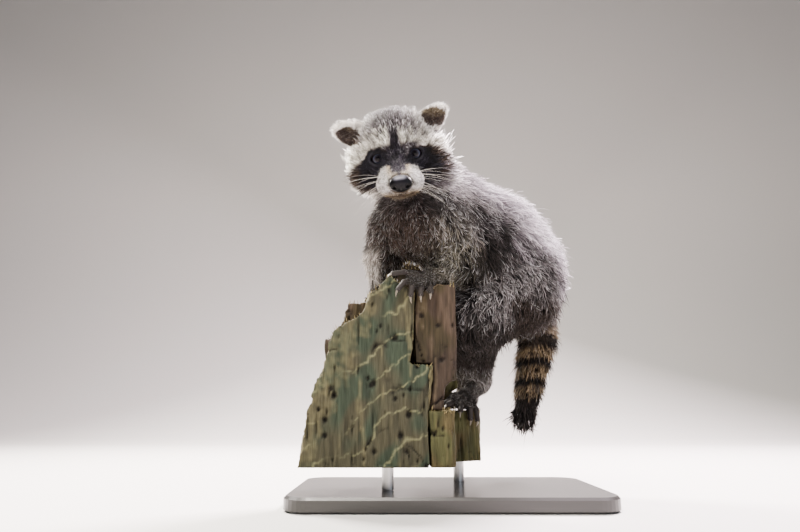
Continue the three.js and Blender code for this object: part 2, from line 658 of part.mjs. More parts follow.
const finish = (color, roughness, metalness = 0) =>
  new THREE.MeshStandardMaterial({ color, roughness, metalness });

const FINISHES = {
  coat: () => finish(0x6f665e, 0.95),
  mask: () => finish(0x3d352f, 0.95),
  pale: () => finish(0xd8cdbb, 0.95),
  limb: () => finish(0x5c5348, 0.95),
  paw: () => finish(0x4f4a44, 0.85),
  ring: () => finish(0x8b7556, 0.95),
  dark: () => finish(0x1a1513, 0.25),
  green: () => finish(0x8a9468, 0.95),
  brown: () => finish(0x8a6a4a, 0.95),
  moss: () => finish(0x9c9a5e, 0.95),
  stand: () => finish(0x2b2724, 0.5),
  rod: () => finish(0x8d8d8c, 0.35, 0.9),
};

function finishOf(name) {
  const rules = [[/^(trunk|head|neck|thigh|upper)/, 'coat'], [/^face/, 'mask'], [/^(muzzle|jaw|ear)/, 'pale'],
    [/^(forearm|shank)/, 'limb'], [/^(hand|foot)/, 'paw'], [/^tail/, 'ring'], [/^(eye|nose)/, 'dark'],
    [/^perch_slab/, 'green'], [/^perch_heart/, 'brown'], [/^perch_ledge/, 'moss'],
    [/^stand_rod/, 'rod'], [/^stand/, 'stand']];
  return FINISHES[rules.find(([pattern]) => pattern.test(name))[1]]();
}

growTrunk();
growNeck();
growHead();
growTail();
growLegs();
growEars();

const solids = bodyParts();
faceParts(solids);
addDigits(solids);
solids.perch_slab = slab();
solids.perch_heartwood = heartwood();
solids.perch_ledge = ledge();
solids.stand_base = standBase();
ROD.places.forEach((place, i) => { solids[`stand_rod_${i + 1}`] = standRod(place); });

const raccoon = new THREE.Group();
for (const [name, solid] of Object.entries(solids)) {
  const mesh = new THREE.Mesh(geometryOf(solid), finishOf(name));
  mesh.name = name;
  raccoon.add(mesh);
}

export default raccoon;
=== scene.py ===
"""A life-size raccoon kit climbing on a broken stump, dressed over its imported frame."""

import json
import math
from collections import namedtuple

import bmesh
import bpy
import numpy as np
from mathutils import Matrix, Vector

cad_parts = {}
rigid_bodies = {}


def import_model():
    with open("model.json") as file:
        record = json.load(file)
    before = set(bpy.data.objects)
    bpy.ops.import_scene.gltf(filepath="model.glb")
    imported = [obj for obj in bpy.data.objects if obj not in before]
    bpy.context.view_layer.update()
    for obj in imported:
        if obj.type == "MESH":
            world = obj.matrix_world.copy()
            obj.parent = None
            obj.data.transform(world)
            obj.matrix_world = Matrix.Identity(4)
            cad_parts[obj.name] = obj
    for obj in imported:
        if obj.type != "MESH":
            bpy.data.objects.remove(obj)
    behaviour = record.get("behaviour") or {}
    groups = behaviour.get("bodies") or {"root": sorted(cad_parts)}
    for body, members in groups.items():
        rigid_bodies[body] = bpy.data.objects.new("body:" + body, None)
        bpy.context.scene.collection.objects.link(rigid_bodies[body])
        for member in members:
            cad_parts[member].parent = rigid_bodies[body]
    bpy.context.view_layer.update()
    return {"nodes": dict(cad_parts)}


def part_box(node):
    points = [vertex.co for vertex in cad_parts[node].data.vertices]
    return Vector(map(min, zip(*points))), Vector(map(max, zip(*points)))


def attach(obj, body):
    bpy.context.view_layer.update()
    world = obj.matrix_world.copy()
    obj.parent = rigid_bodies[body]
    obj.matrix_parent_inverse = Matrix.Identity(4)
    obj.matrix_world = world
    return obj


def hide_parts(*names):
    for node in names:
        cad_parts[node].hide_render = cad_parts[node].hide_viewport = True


bl_info = {
    "name": "Raccoon Kit on a Stump",
    "version": (1, 0, 0),
    "blender": (4, 5, 0),
    "location": "3D View > Sidebar > Raccoon",
    "description": "Skin, coat, eyes, claws and whiskers of a raccoon kit, with its stump and stand",
    "category": "Object",
}

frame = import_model()

# ---- sizes and places, in mm

MM = 0.001
FOOTING = 75.6                      # the ledge that the hind feet stand on
SEED = 20
FAR_OFF = 400.0                     # farther than any distance that matters
MELT_REACH = 25                     # past this no group of forms melts into the next
AT_ONCE = 400000                    # points worked on together, to spare memory
HEAD_REACH, FACE_REACH = 75, 60     # balls round the head's origin
EAR_REACH, PALM_REACH = 22, 15      # balls round an ear's centre and a palm

UP = np.array([0, 0, 1.0])
SIDES = {-1: "right", 1: "left"}

FLESH = ["head", "face", "muzzle", "jaw", "neck", "trunk", "tail_base", "tail_middle", "tail_tip"]
FLESH += [part + side for side in ("_left", "_right") for part in
          ("ear", "upper_arm", "forearm", "hand", "thigh", "shank", "foot")]

HEAD_EYES = (-43, -68, 211.4)       # the point midway between the eyes, above the ledge
HEAD_PITCH, HEAD_ROLL, HEAD_YAW = 23, 8.5, 0.5
EYE_RADIUS, EYES_APART, EYE_BACK = 6.2, 31.5, 0.4
LID_WIDE, LID_HIGH = 5.7, 4.7       # half the lids' opening
NOSE_SIZE, NOSE_PLACE = (18.6, 11.6, 13.2), (0, 36.5, -22)
MOUTH = [(-16, 12, -27), (-11, 21, -30), (-6, 28, -29.2), (0, 31, -27.6), (6, 28, -29.2),
         (11, 21, -30), (16, 12, -27)]
Ear = namedtuple("Ear", "place spread wide")
EARS = {-1: Ear((36.3, -22, 25.2), (0.8, 0, 0.32), (11.3, 7.8)),
        1: Ear((34.6, -22, 27), (0.8, 0, 0.54), (10.8, 7.6))}
EAR_FACING = (0.25, 0.95, -0.1)
# The hollow of each ear, across and outward from its centre: centre, radii and turn.
CUPS = {-1: ((-2.6, 1.7), (8.2, 11.4), 0), 1: ((-1, 3.5), (11.5, 8.2), 45)}

NAPE = (-20, -32, 202.4)
SPINE = [(16, -14, 174.4), (49, 6, 157), (70.5, 20, 131), (76, 26, 109)]    # withers to rump
UNDERLINE = [(-24, -34, 160.4), (18, -4, 147.4), (44, 10, 116.4)]           # chest, ribs and belly
TAIL = [(94, 42, 82.4), (95, 48, 64.4), (90, 48, 44.4), (84, 46, 20.4), (78, 46, -7.6)]
# Shoulder, elbow, wrist and palm; and hip, knee, ankle, heel and ball.
FORELEG = {
    "left": [(2.5, -31.5, 156.8), (7, -29, 125.4), (-8.3, -43.5, 111.1), (-22.4, -55.7, 106)],
    "right": [(-47.2, -25.5, 162), (-54.7, -9.3, 136.2), (-55.5, -8.2, 104.7), (-57.5, -18, 97.5)],
}
HINDLEG = {
    "left": [(68.5, 7.6, 107.6), (26.1, -12, 76.7), (34.2, 34.9, 33.5), (37.5, 41, 25), (15.8, 8, 8.5)],
    "right": [(52.5, 39.6, 107.6), (12.1, 20, 76.7), (24.2, 64.9, 33.5), (28.5, 73.3, 11), (5.8, 42, 8.5)],
}

# Each digit: where it leaves the palm, its aim round from straight ahead, the rise of its two
# bones (degrees) and their lengths.
Digit = namedtuple("Digit", "root aim rise bones")
HAND_LEFT = [
    Digit((-2.6, -1.7, 3), -64, (10, -13), (13, 10.5)),
    Digit((-6, -3.3, 1), -60, (-25, -50), (10.7, 8.5)),
    Digit((-3.5, -4.7, -1.8), -37, (-43, -76), (10, 6.5)),
    Digit((0.6, -4.5, -2.7), -12, (-46, -80), (8.2, 5.5)),
    Digit((6.5, -1.8, -1.2), 7, (-43, -80), (7.8, 5)),
]
FOOT_LEFT = [
    Digit((-5.3, 0.6, 1.8), -58, (-16, -24), (8.5, 7)),
    Digit((-3.8, -2.1, 0), -42, (-10, -18), (8.7, 7.1)),
    Digit((-0.4, -3.9, -0.9), -14, (-26, -50), (8, 5.6)),
    Digit((4.1, -3.9, -0.9), 17, (-48, -84), (9.2, 7.8)),
    Digit((8, -1.2, -0.9), 38, (-48, -82), (9.2, 8.6)),
]
HAND_THICK, FOOT_THICK = 2.5, 2.8
CLAW_LENGTH, CLAW_DROP, CLAW_ROOT = 6.5, 44.8, 1.15     # drop in degrees from root to point


def unit(v):
    """A vector, or each row of an array, at length one."""
    v = np.asarray(v, float)
    return v / (np.linalg.norm(v, axis=-1, keepdims=True) + 1e-12)


def lengths(rows):
    """The length of each row of an array."""
    return np.linalg.norm(rows, axis=1)


def raised(places):
    """One place given above the ledge, or a list of them, in the part's own frame."""
    return np.array(places, float) + (0, 0, FOOTING)


def head_frame():
    """The head's left side, the way it looks and its crown, as the rows of a matrix."""
    pitch, roll, yaw = (math.radians(a) for a in (HEAD_PITCH, HEAD_ROLL, HEAD_YAW))
    forward = unit([math.sin(yaw), -math.cos(pitch) * math.cos(yaw), -math.sin(pitch)])
    level = unit(np.cross(UP, forward))
    lift = np.cross(forward, level)
    side = level * math.cos(roll) + lift * math.sin(roll)
    up = lift * math.cos(roll) - level * math.sin(roll)
    return np.array([side, forward, up])


HEAD = head_frame()
HEAD_ORIGIN = raised(HEAD_EYES)


def head_way(left, forward, up):
    """A direction given in the head's frame."""
    return np.array([left, forward, up]) @ HEAD


def head_point(left, forward, up):
    """A place given in the head's frame."""
    return HEAD_ORIGIN + head_way(left, forward, up)


def in_head(p):
    """Points in the head's own coordinates: left, forward and up of the eyes."""
    return (p - HEAD_ORIGIN) @ HEAD.T


def eye_centre(side):
    """The middle of the left (1) or right (-1) eyeball."""
    return head_point(side * EYES_APART / 2, -EYE_BACK, 0)


def eye_way(side):
    """The way an eye's opening faces."""
    return unit(head_way(side * 0.2, 1, 0.04))


NOSE_CENTRE = head_point(*NOSE_PLACE)

# ---- colours


def linear(hex_colour):
    """An sRGB hex colour as three linear numbers."""
    steps = np.array([int(hex_colour[i:i + 2], 16) / 255 for i in (1, 3, 5)])
    return np.where(steps <= 0.04045, steps / 12.92, ((steps + 0.055) / 1.055) ** 2.4)


# The coat's colours, each near the hair's root and near its tip. A few stand for light and shade: the pale
# back is painted light on the lit side of the flank, the pale edge hair is painted rim light, the far arm's
# and the fold's dark colours are painted shade, and the chin's tan is darker for painted shade.
DYES = {name: (linear(root), linear(tip)) for name, root, tip in (
    ("back", "#aea3ac", "#f3eaf1"), ("flank", "#0d0b0c", "#5a5456"), ("rump", "#0e0b09", "#33281f"),
    ("neck", "#7f757a", "#efe6ea"), ("throat", "#0c0908", "#2b211d"), ("chest", "#15100d", "#54453a"),
    ("belly", "#0c0907", "#2a231d"), ("upper_arm", "#1a1915", "#928e7d"), ("forearm", "#201e19", "#827e70"),
    ("hand", "#575248", "#a9a496"), ("thigh", "#1b191a", "#9b9595"), ("shank", "#0f0c0b", "#3a332e"),
    ("foot", "#4b4743", "#a9a49d"), ("tail", "#2a231a", "#8c7a5e"), ("crown", "#100c0f", "#635a5f"),
    ("shaded_far_arm", "#141110", "#514842"), ("ear", "#ddd6cd", "#fffefb"), ("digit", "#25211f", "#4b4641"),
    ("tail_dark", "#070606", "#151210"), ("tail_tip", "#0e0c0c", "#35302c"),
    ("leg_dark", "#0b0908", "#2b2520"),
    ("mask_black", "#07070a", "#1f1d25"), ("mask_brown", "#110c09", "#3f3229"),
    ("brow_cream", "#6b655c", "#f4f1e3"), ("cheek_white", "#c6beb4", "#fffcf6"),
    ("muzzle_white", "#625d56", "#edebe6"), ("muzzle_cream", "#5f4f3a", "#c2ad88"),
    ("bridge", "#131015", "#3c3741"), ("stripe", "#08070a", "#1e1a20"), ("lavender", "#5b5560", "#a9a0ae"),
    ("arcs", "#1d1b22", "#56535f"), ("lip", "#0f0a08", "#2b1f19"), ("chin", "#231b13", "#65563f"),
    ("ear_tan", "#3f3528", "#a29379"), ("ear_cup", "#1c1512", "#6a594f"), ("painted_rim_light", "#7d756d", "#e6e0d8"),
    ("painted_shade", "#060505", "#211e1d"))}

# ---- noise


def waves(p, size, seed, octaves=3):
    """Smooth noise between about -1 and 1 whose features are about size across."""
    rng = np.random.default_rng(seed)
    total = np.zeros(len(p))
    for _ in range(6 * octaves):
        way = unit(rng.normal(size=3)) * (2 * math.pi / size) * rng.uniform(0.6, 1.9)
        total += np.sin(p @ way + rng.uniform(0, 2 * math.pi))
    return total / math.sqrt(3 * octaves)


def ramp(x, low, high):
    """A smooth step from 0 at low to 1 at high; high may be the smaller."""
    t = np.clip((x - low) / (high - low), 0, 1)
    return t * t * (3 - 2 * t)


# ---- the rounded body

# Forms melt into each other in groups, and the groups melt into one body. A limb runs from a
# to b; a blob sits at a with its own axes. Coat is the fur's depth over the skin, lie the way
# that the hair runs and dye its colours.
Form = namedtuple("Form", "a b radii coat axes melt lie dye")
GROUPS = []                         # the body part, how softly the group melts in, and its forms


def start_group(part, melt):
    """Opens a group of forms, which melts into the groups before it."""
    GROUPS.append((part, melt, []))


def limb(a, b, radii, coat, melt, dye, lie=None):
    """A tapered round limb in the newest group; its hair runs from a to b unless lie says else."""
    way = unit(b - a) if lie is None else unit(lie)
    GROUPS[-1][2].append(Form(a, b, radii, coat, None, melt, way, dye))


def blob(centre, radii, axes, coat, melt, dye, lie):
    """An ellipsoid in the newest group."""
    GROUPS[-1][2].append(Form(centre, None, np.array(radii, float), coat, axes, melt, unit(lie), dye))


def chain(points, radii, coats, melt, dye, lie=None):
    """Limbs through the given points."""
    for i in range(len(points) - 1):
        limb(points[i], points[i + 1], radii[i:i + 2], coats[i:i + 2], melt, dye, lie)


def grow_body():
    """Trunk, neck, head and tail. The trunk has a back and an underline."""
    start_group("trunk", 20)
    chest, ribs, belly = raised(UNDERLINE)
    chain(raised(SPINE), [27, 33, 33, 29], [9, 10, 11, 10], 20, "flank", (0.62, 0.1, -0.62))
    limb(chest, ribs, [22, 28.5], [6, 8], 20, "chest", (0.3, 0.1, -1))
    limb(ribs, belly, [28.5, 28], [8, 8], 20, "belly", (0.5, 0.1, -0.8))
    start_group("neck", 14)
    limb(raised(NAPE), raised(SPINE[0]), [24, 25], [9, 9], 20, "neck", (0.7, 0.2, -0.5))
    limb(head_point(0, -22, -16), chest, [20, 22], [7, 7], 16, "throat", (0.05, -0.1, -1))
    start_group("head", 10)
    blob(head_point(0, -24, 9), (32, 32, 27), HEAD, 6, 10, "crown", head_way(0, -1, 0.3))
    blob(head_point(0, -6, 3), (21, 17, 19), HEAD, 4, 10, "crown", head_way(0, -0.5, 1))
    for s in SIDES:
        cheek = head_point(21 * s, -16, -8)
        blob(cheek, (17, 18, 17), HEAD, 11 if s > 0 else 8, 10, "crown", head_way(s, -0.5, -0.35))
        blob(head_point(8.8 * s, 21, -22), (9, 11, 8.5), HEAD, 2.5, 6, "crown", head_way(s, -1, -0.3))
    snout = head_point(0, 2, -12), head_point(0, 31, -20.5)
    limb(*snout, [15, 8], [3, 2], 8, "crown", head_way(0, -1, 0))
    jaw = head_point(0, -6, -24), head_point(0, 23, -27)
    limb(*jaw, [13, 5.2], [3.5, 2], 8, "throat", head_way(0, -1, -0.3))
    start_group("tail", 10)
    chain(raised(TAIL), [12, 10, 8.5, 7, 5], [8, 8, 7, 6, 6], 10, "tail")


def grow_legs():
    """Fore legs, hind legs, and the palms and soles."""
    # The far fore leg's coat is a darker, browner copy of the near one's; its darkness is painted shade.
    for side, upper, lower, dyes in (("left", [17, 12], [12, 7], ("upper_arm", "forearm")),
                                     ("right", [16, 12], [11.5, 8], ("shaded_far_arm", "shaded_far_arm"))):
        start_group("foreleg_" + side, 9)
        shoulder, elbow, wrist = raised(FORELEG[side][:3])
        limb(shoulder, elbow, upper, [7, 6], 14, dyes[0])
        limb(elbow, wrist, lower, [6, 3.5], 8, dyes[1])
    for side, leg in HINDLEG.items():
        start_group("hindleg_" + side, 10)
        hip, knee, ankle = raised(leg[:3])
        limb(hip, knee, [29, 20], [10, 8], 16, "thigh", (-0.12, 0, -1))
        limb(knee, ankle, [19, 8.5], [8, 4.5], 10, "shank", (0.1, 0.3, -1))
    for side, leg in FORELEG.items():
        start_group("foreleg_" + side, 4)
        chain(raised(leg[2:]), [6.5, 6], [2, 1], 4, "hand")
    for side, leg in HINDLEG.items():
        start_group("hindleg_" + side, 4)
        chain(raised(leg[2:]), [8, 7, 6.5], [3, 2, 1], 6, "foot")


def bone_way(aim, rise):
    """A bone's direction from its aim round from straight ahead and its rise."""
    aim, rise = math.radians(aim), math.radians(rise)
    flat = math.cos(rise)
    return np.array([math.sin(aim) * flat, -math.cos(aim) * flat, math.sin(rise)])


def fan(reach, middle, spread):
    """Five like digits spread evenly either side of the middle one."""
    aims = [middle + spread * (i - 2) for i in range(5)]
    return [Digit(bone_way(aim, -14) * 4, aim, (-14, -10), (0.55 * reach, 0.45 * reach)) for aim in aims]


PAWS = [
    ("foreleg_left", raised(FORELEG["left"][-1]), HAND_LEFT, HAND_THICK),
    ("foreleg_right", raised(FORELEG["right"][-1]), fan(20, 0, 14), HAND_THICK),
    ("hindleg_left", raised(HINDLEG["left"][-1]), FOOT_LEFT, FOOT_THICK),
    ("hindleg_right", raised(HINDLEG["right"][-1]), fan(19.5, -23, 16), FOOT_THICK),
]


def digit_points(palm, digit):
    """Palm, knuckle, middle joint and pad of one digit."""
    knuckle = palm + digit.root
    joint = knuckle + bone_way(digit.aim, digit.rise[0]) * digit.bones[0]
    pad = joint + bone_way(digit.aim, digit.rise[1]) * digit.bones[1]
    return [palm + (knuckle - palm) * 0.25, knuckle, joint, pad]


def grow_digits():
    """The bare digits of each paw."""
    for part, palm, digits, thick in PAWS:
        start_group(part, 2.5)
        for digit in digits:
            radii = [thick, thick * 0.92, thick * 0.82, thick * 0.86]
            chain(digit_points(palm, digit), radii, [0] * 4, 1.2, "digit")


def ear_frame(side):
    """An ear's centre, and its width, facing and outward directions."""
    ear = EARS[side]
    centre = head_point(ear.place[0] * side, *ear.place[1:])
    out = unit(head_way(ear.spread[0] * side, *ear.spread[1:]))
    facing = head_way(EAR_FACING[0] * side, *EAR_FACING[1:])
    facing = unit(facing - out * (facing @ out))
    return centre, np.array([np.cross(out, facing), facing, out])


def grow_ears():
    """Each ear is two flattened ellipsoids, one over the other."""
    for s, side in SIDES.items():
        centre, axes = ear_frame(s)
        start_group("ear_" + side, 5)
        blob(centre - axes[2] * 5, (EARS[s].wide[0], 4.5, 12), axes, 2, 6, "ear", axes[2])
        blob(centre + axes[2] * 5, (EARS[s].wide[1], 3.5, 11), axes, 2, 6, "ear", axes[2])


def off_step(p, a, b):
    """How far along the step from a to b each point is, 0 to 1, and its offset from the step."""
    t = np.clip((p - a) @ (b - a) / ((b - a) @ (b - a)), 0, 1)
    return t, p - a - t[:, None] * (b - a)


def form_distance(form, p, share=0.0):
    """Distance from each point to a form; share is how much of the coat grows there."""
    if form.b is None:
        w = (p - form.a) @ form.axes.T
        r = form.radii + np.multiply.outer(np.broadcast_to(share, len(p)), [form.coat] * 3)
        near = np.sqrt(((w / r) ** 2).sum(1))
        return near * (near - 1) / (np.sqrt((w / r ** 2) ** 2 @ np.ones(3)) + 1e-9)
    t, away = off_step(p, form.a, form.b)
    skin = form.radii[0] + (form.radii[1] - form.radii[0]) * t
    coat = form.coat[0] + (form.coat[1] - form.coat[0]) * t
    return lengths(away) - skin - coat * share


def melted(a, b, k):
    """The smaller of two distances, rounded where they are within k of each other."""
    h = np.maximum(k - np.abs(a - b), 0) / k
    return np.minimum(a, b) - h * h * k / 4


def group_reach(forms):
    """A ball round a group of forms, coat and all."""
    ends = np.array([e for f in forms for e in (f.a, f.b) if e is not None])
    centre = (ends.min(0) + ends.max(0)) / 2
    thick = max(np.max(f.radii) + np.max(f.coat) for f in forms)
    return centre, lengths(ends - centre).max() + thick


def coat_share(p):
    """The coat thins to almost nothing round the eyes and the nose."""
    by_eye = [ramp(lengths(p - eye_centre(s)), EYE_RADIUS, EYE_RADIUS + 16) for s in SIDES]
    by_nose = ramp(lengths(p - NOSE_CENTRE), 7, 26)
    thin = np.maximum(0.12, np.minimum(np.minimum(*by_eye), by_nose))
    return np.where(lengths(p - HEAD_ORIGIN) < HEAD_REACH, thin, 1.0)


def body_distance(p, furred=False):
    """Distance to the skin, or to the coat's tips where it is furred."""
    share = coat_share(p) if furred else np.zeros(len(p))
    body = np.full(len(p), FAR_OFF)
    for _, melt, forms in GROUPS:
        centre, reach = group_reach(forms)
        near = lengths(p - centre) < reach + MELT_REACH
        if not near.any():
            continue
        q, some = p[near], share[near]
        part = None
        for form in forms:
            d = form_distance(form, q, some)
            part = d if part is None else melted(part, d, form.melt)
        body[near] = melted(body[near], part, melt)
    for s in SIDES:
        centre, axes = ear_frame(s)
        cup = lengths(p - centre - axes[1] * 11.5) - 11
        body = -melted(-body, cup, 3)
    return body


def slope(distance, p, step=0.4):
    """The distance at each point and the unit direction in which it grows."""
    here = distance(p)
    way = np.stack([distance(p + step * np.eye(3)[i]) - here for i in range(3)], 1)
    return here, unit(way)


def eye_frame(side):
    """Rows: across the eye's opening, up its opening, and out of it."""
    out = eye_way(side)
    across = unit(np.cross(out, HEAD[2]))
    return np.array([across, np.cross(across, out), out])


def path_distance(p, path):
    """Distance from each point to a path of straight steps."""
    best = np.full(len(p), FAR_OFF)
    for a, b in zip(path[:-1], path[1:]):
        _, away = off_step(p, np.array(a, float), np.array(b, float))
        best = np.minimum(best, lengths(away))
    return best


def skin_distance(p):
    """The skin with its lids, the folds below them and the mouth's line."""
    body = body_distance(p)
    face = lengths(p - HEAD_ORIGIN) < FACE_REACH
    q, skin = p[face], body[face]
    for s in SIDES:
        local = (q - eye_centre(s)) @ eye_frame(s).T
        ball = lengths(local)
        wide = np.hypot(local[:, 0], local[:, 1])
        below = ramp(-local[:, 1], 1, 6) * ramp(local[:, 2], -4, 2)
        skin = skin - 0.7 * below * np.exp(-((wide - 10) / 1.1) ** 2)
        skin = skin + 0.5 * below * np.exp(-((wide - 8) / 0.9) ** 2)
        skin = melted(skin, ball - EYE_RADIUS - 1.1, 3.5)
        opening = (np.hypot(local[:, 0] / LID_WIDE, local[:, 1] / LID_HIGH) - 1) * LID_HIGH
        opening = np.maximum(opening, 1 - local[:, 2])
        skin = -melted(-skin, opening, 0.8)
        skin = np.maximum(skin, EYE_RADIUS + 0.15 - ball)
    groove = path_distance(in_head(q), MOUTH) - 1.1
    skin = -melted(-skin, groove, 1.2)
    bed = lengths((q - NOSE_CENTRE) @ HEAD.T / (np.array(NOSE_SIZE) / 2 - 0.4)) - 1
    skin = np.maximum(skin, -bed * 5)
    body[face] = skin
    return body


for grow in (grow_body, grow_legs, grow_digits, grow_ears):
    grow()

# ---- surfaces from a distance

CORNERS = [(i, j, k) for i in (0, 1) for j in (0, 1) for k in (0, 1)]


def spaced(low, high, fine_low, fine_high, cell, fine):
    """Grid lines from low to high, closer together between fine_low and fine_high."""
    lines = [low]
    while lines[-1] < high:
        lines.append(lines[-1] + (fine if fine_low < lines[-1] < fine_high else cell))
    return np.array(lines)


def near_values(axes, distance, stride=4):
    """The distance at grid points near the surface, and only its sign elsewhere."""
    shape = [len(a) for a in axes]
    sparse = [a[::stride] for a in axes]
    grid = np.stack(np.meshgrid(*sparse, indexing="ij"), -1)
    coarse = distance(grid.reshape(-1, 3)).reshape(grid.shape[:3])
    cell = max(np.diff(a).max() for a in axes)
    pick = [np.minimum((np.arange(n) + stride // 2) // stride, m - 1) for n, m in zip(shape, coarse.shape)]
    values = coarse[np.ix_(*pick)].astype(np.float32)
    half_diagonal = stride * cell * 0.87
    close = np.argwhere(np.abs(values) < half_diagonal + 1.5)
    for start in range(0, len(close), AT_ONCE):
        at = close[start:start + AT_ONCE]
        points = np.stack([axes[d][at[:, d]] for d in range(3)], 1)
        values[tuple(at.T)] = distance(points)
    return values


def surface_net(axes, values):
    """Vertices and outward quads where the values change sign, one vertex in each crossed cell."""
    inside = values < 0
    shape = np.array(values.shape) - 1
    count = np.zeros(shape, np.uint8)
    for c in CORNERS:
        count += inside[tuple(slice(o, o + m) for o, m in zip(c, shape))]
    cells = np.argwhere((count > 0) & (count < 8))
    total, hits = np.zeros((len(cells), 3)), np.zeros(len(cells))
    for corner in CORNERS:
        for axis in range(3):
            if corner[axis]:
                continue
            start, end = cells + corner, cells + corner
            end[:, axis] += 1
            va, vb = values[tuple(start.T)], values[tuple(end.T)]
            crossed = (va < 0) != (vb < 0)
            t = np.where(crossed, va / np.where(crossed, va - vb, 1), 0)
            a, b = (np.stack([axes[d][e[:, d]] for d in range(3)], 1) for e in (start, end))
            total += crossed[:, None] * (a + t[:, None] * (b - a))
            hits += crossed
    index = np.full(shape, -1, np.int32)
    index[tuple(cells.T)] = np.arange(len(cells))
    quads = []
    for axis in range(3):
        one, two = np.eye(3, dtype=int)[(axis + 1) % 3], np.eye(3, dtype=int)[(axis + 2) % 3]
        here = [slice(1, m) for m in shape]
        here[axis] = slice(0, shape[axis])
        there = list(here)
        there[axis] = slice(1, shape[axis] + 1)
        at = np.argwhere(inside[tuple(here)] != inside[tuple(there)]) + [s.start for s in here]
        quad = np.stack([index[tuple((at - o).T)] for o in (0 * one, one, one + two, two)], 1)
        outwards = inside[tuple(at.T)]
        quad[~outwards] = quad[~outwards][:, ::-1]
        quads.append(quad)
    return total / hits[:, None], np.concatenate(quads)


def settle(points, distance, limit):
    """Moves points onto the surface, each by no more than limit."""
    here, way = slope(distance, points, 0.2)
    return points - way * np.clip(here, -limit, limit)[:, None]


# ---- colours over the body


def mix(colours, mask, colour):
    """Blends a colour, or one for each point, into an array of colours where the mask is 1."""
    return colours + mask[:, None] * (np.asarray(colour) - colours)


def paint(pair, mask, dye):
    """Blends a dye's root and tip colours into a pair of colour arrays."""
    return [mix(colours, mask, colour) for colours, colour in zip(pair, DYES[dye])]


def form_shares(p, blend=5.0):
    """How much each form counts at each point, by nearness, and the forms in a flat list."""
    forms = [f for _, _, some in GROUPS for f in some]
    near = np.stack([form_distance(f, p) for f in forms], 1)
    near = np.exp(-(near - near.min(1, keepdims=True)) / blend)
    return forms, near / near.sum(1, keepdims=True)


def oval(x, y, centre, radii, turn=0.0):
    """How far out a point is in an oval: 1 on its rim. Turn is in degrees."""
    c, s = math.cos(math.radians(turn)), math.sin(math.radians(turn))
    dx, dy = x - centre[0], y - centre[1]
    return np.hypot((dx * c + dy * s) / radii[0], (dy * c - dx * s) / radii[1])


def paint_head(pair, p, furry):
    """The mask, brow bands, stripe, cheek rims and pale muzzle, placed in mm in the head's frame."""
    left, forward, up = in_head(p).T
    wander = 1.2 * waves(p, 9, 31)
    a = np.abs(left)
    front = ramp(forward, -34, -20)
    pair = paint(pair, 0.3 * ramp(up, 22, 33), "bridge")
    outer = a - 0.12 * np.maximum(left - 14, 0)
    sag = np.where(left > 0, -14.5, -8.3)
    drop = np.where(left > 0, -14.8, -10.8)
    brown = oval(outer, up, (23.6, sag), (np.where(left > 0, 20.8, 23), np.where(left > 0, 21, 18)), -16)
    pair = paint(pair, front * ramp(brown + wander * 0.03, 1.42, 1.2) * ramp(a, 16, 26), "cheek_white")
    top = 23.5 - 0.33 * a + wander * 2.4
    right_foot = 9 - 0.2 * np.maximum(a - 15, 0) - 0.6 * np.maximum(a - 21, 0)
    foot = np.where(left > 0, 9.8 - 0.7 * np.clip(a - 19, 0, 6.5), right_foot)
    brow = ramp(up, foot - 1, foot + 2) * ramp(up, top + 6, top - 6) * ramp(a, 3, 5.5) * ramp(a, 47, 40)
    pair = paint(pair, front * brow, "brow_cream")
    streaks = ramp(waves(p, 4.5, 37), 0.5, 1.3) * ramp(up, foot + 4, foot + 12)
    pair = paint(pair, 0.5 * front * brow * streaks, "bridge")
    mask = front * ramp(up + wander, foot + 1.5, foot - 1.5)
    pair = paint(pair, mask * ramp(brown + wander * 0.03, 1.1, 0.93), "mask_brown")
    black = np.minimum(oval(outer, up, (18.8, drop), (14.4, 15.6), -24),
                       oval(outer, up, (17, drop + 5), (14, 14.5), -24))
    pair = paint(pair, mask * ramp(black + wander * 0.06, 1.14, 0.88), "mask_black")
    flare = 4.5 * ramp(up, 14, 0)
    stripe = ramp(a + 0.7 * wander, 4.0 + flare, 2.0 + flare) * ramp(up, 36, 12)
    pair = paint(pair, front * stripe * ramp(up, -2, 5), "stripe")
    below = [np.hypot(a - EYES_APART / 2, up + 1) - r for r in (8.6, 11.4)]
    arcs = sum(np.exp(-(d / 0.8) ** 2) for d in below) * ramp(up, -2, -6)
    pair = paint(pair, 0.3 * front * arcs, "arcs")
    bridge = ramp(a, 8.5, 6) * ramp(up, 8, 2) * ramp(up, -40, -12)
    pair = paint(pair, ramp(forward, -6, 4) * bridge, "bridge")
    pair = paint(pair, 0.6 * bridge * ramp(up, -11, -17) * ramp(forward, 14, 22), "lavender")
    pad = oval(a, up, (11, -22), (10.8, 14), 20)
    lower = oval(left, up, (0, -29), (16, 8.5))
    white = np.maximum(ramp(pad + 0.05 * wander, 1.12, 0.9), ramp(lower, 1.1, 0.9)) * ramp(forward, 4, 10)
    nose_way = ramp(a, 7.5, 5) * ramp(up, -15, -11)
    pair = paint(pair, white * (1 - nose_way), "muzzle_white")
    pair = paint(pair, 0.35 * white * ramp(waves(p, 2.4, 35), 0.3, 1.0), "lavender")
    cream = white * (1 - nose_way) * np.maximum(ramp(up, -20, -8) * ramp(a, 13, 6), ramp(up, -26, -32))
    pair = paint(pair, cream, "muzzle_cream")
    # The chin's tan, made darker as painted shade under the lower lip.
    chin = ramp(up, -28.5, -31.5) * ramp(a, 17, 9) * ramp(forward, 4, 12)
    pair = paint(pair, chin, "chin")
    lips = ramp(path_distance(in_head(p), MOUTH), 2.6, 1.2)
    pair = paint(pair, lips * (0.9 if furry else 1.0), "lip")
    under_nose = oval(left, up, (0, -29), (10, 4.5))
    pair = paint(pair, 0.45 * ramp(under_nose, 1.2, 0.6) * ramp(forward, 20, 26), "lip")
    throat = ramp(up, -33, -40) * ramp(forward, -24, -10)
    return paint(pair, throat, "throat")


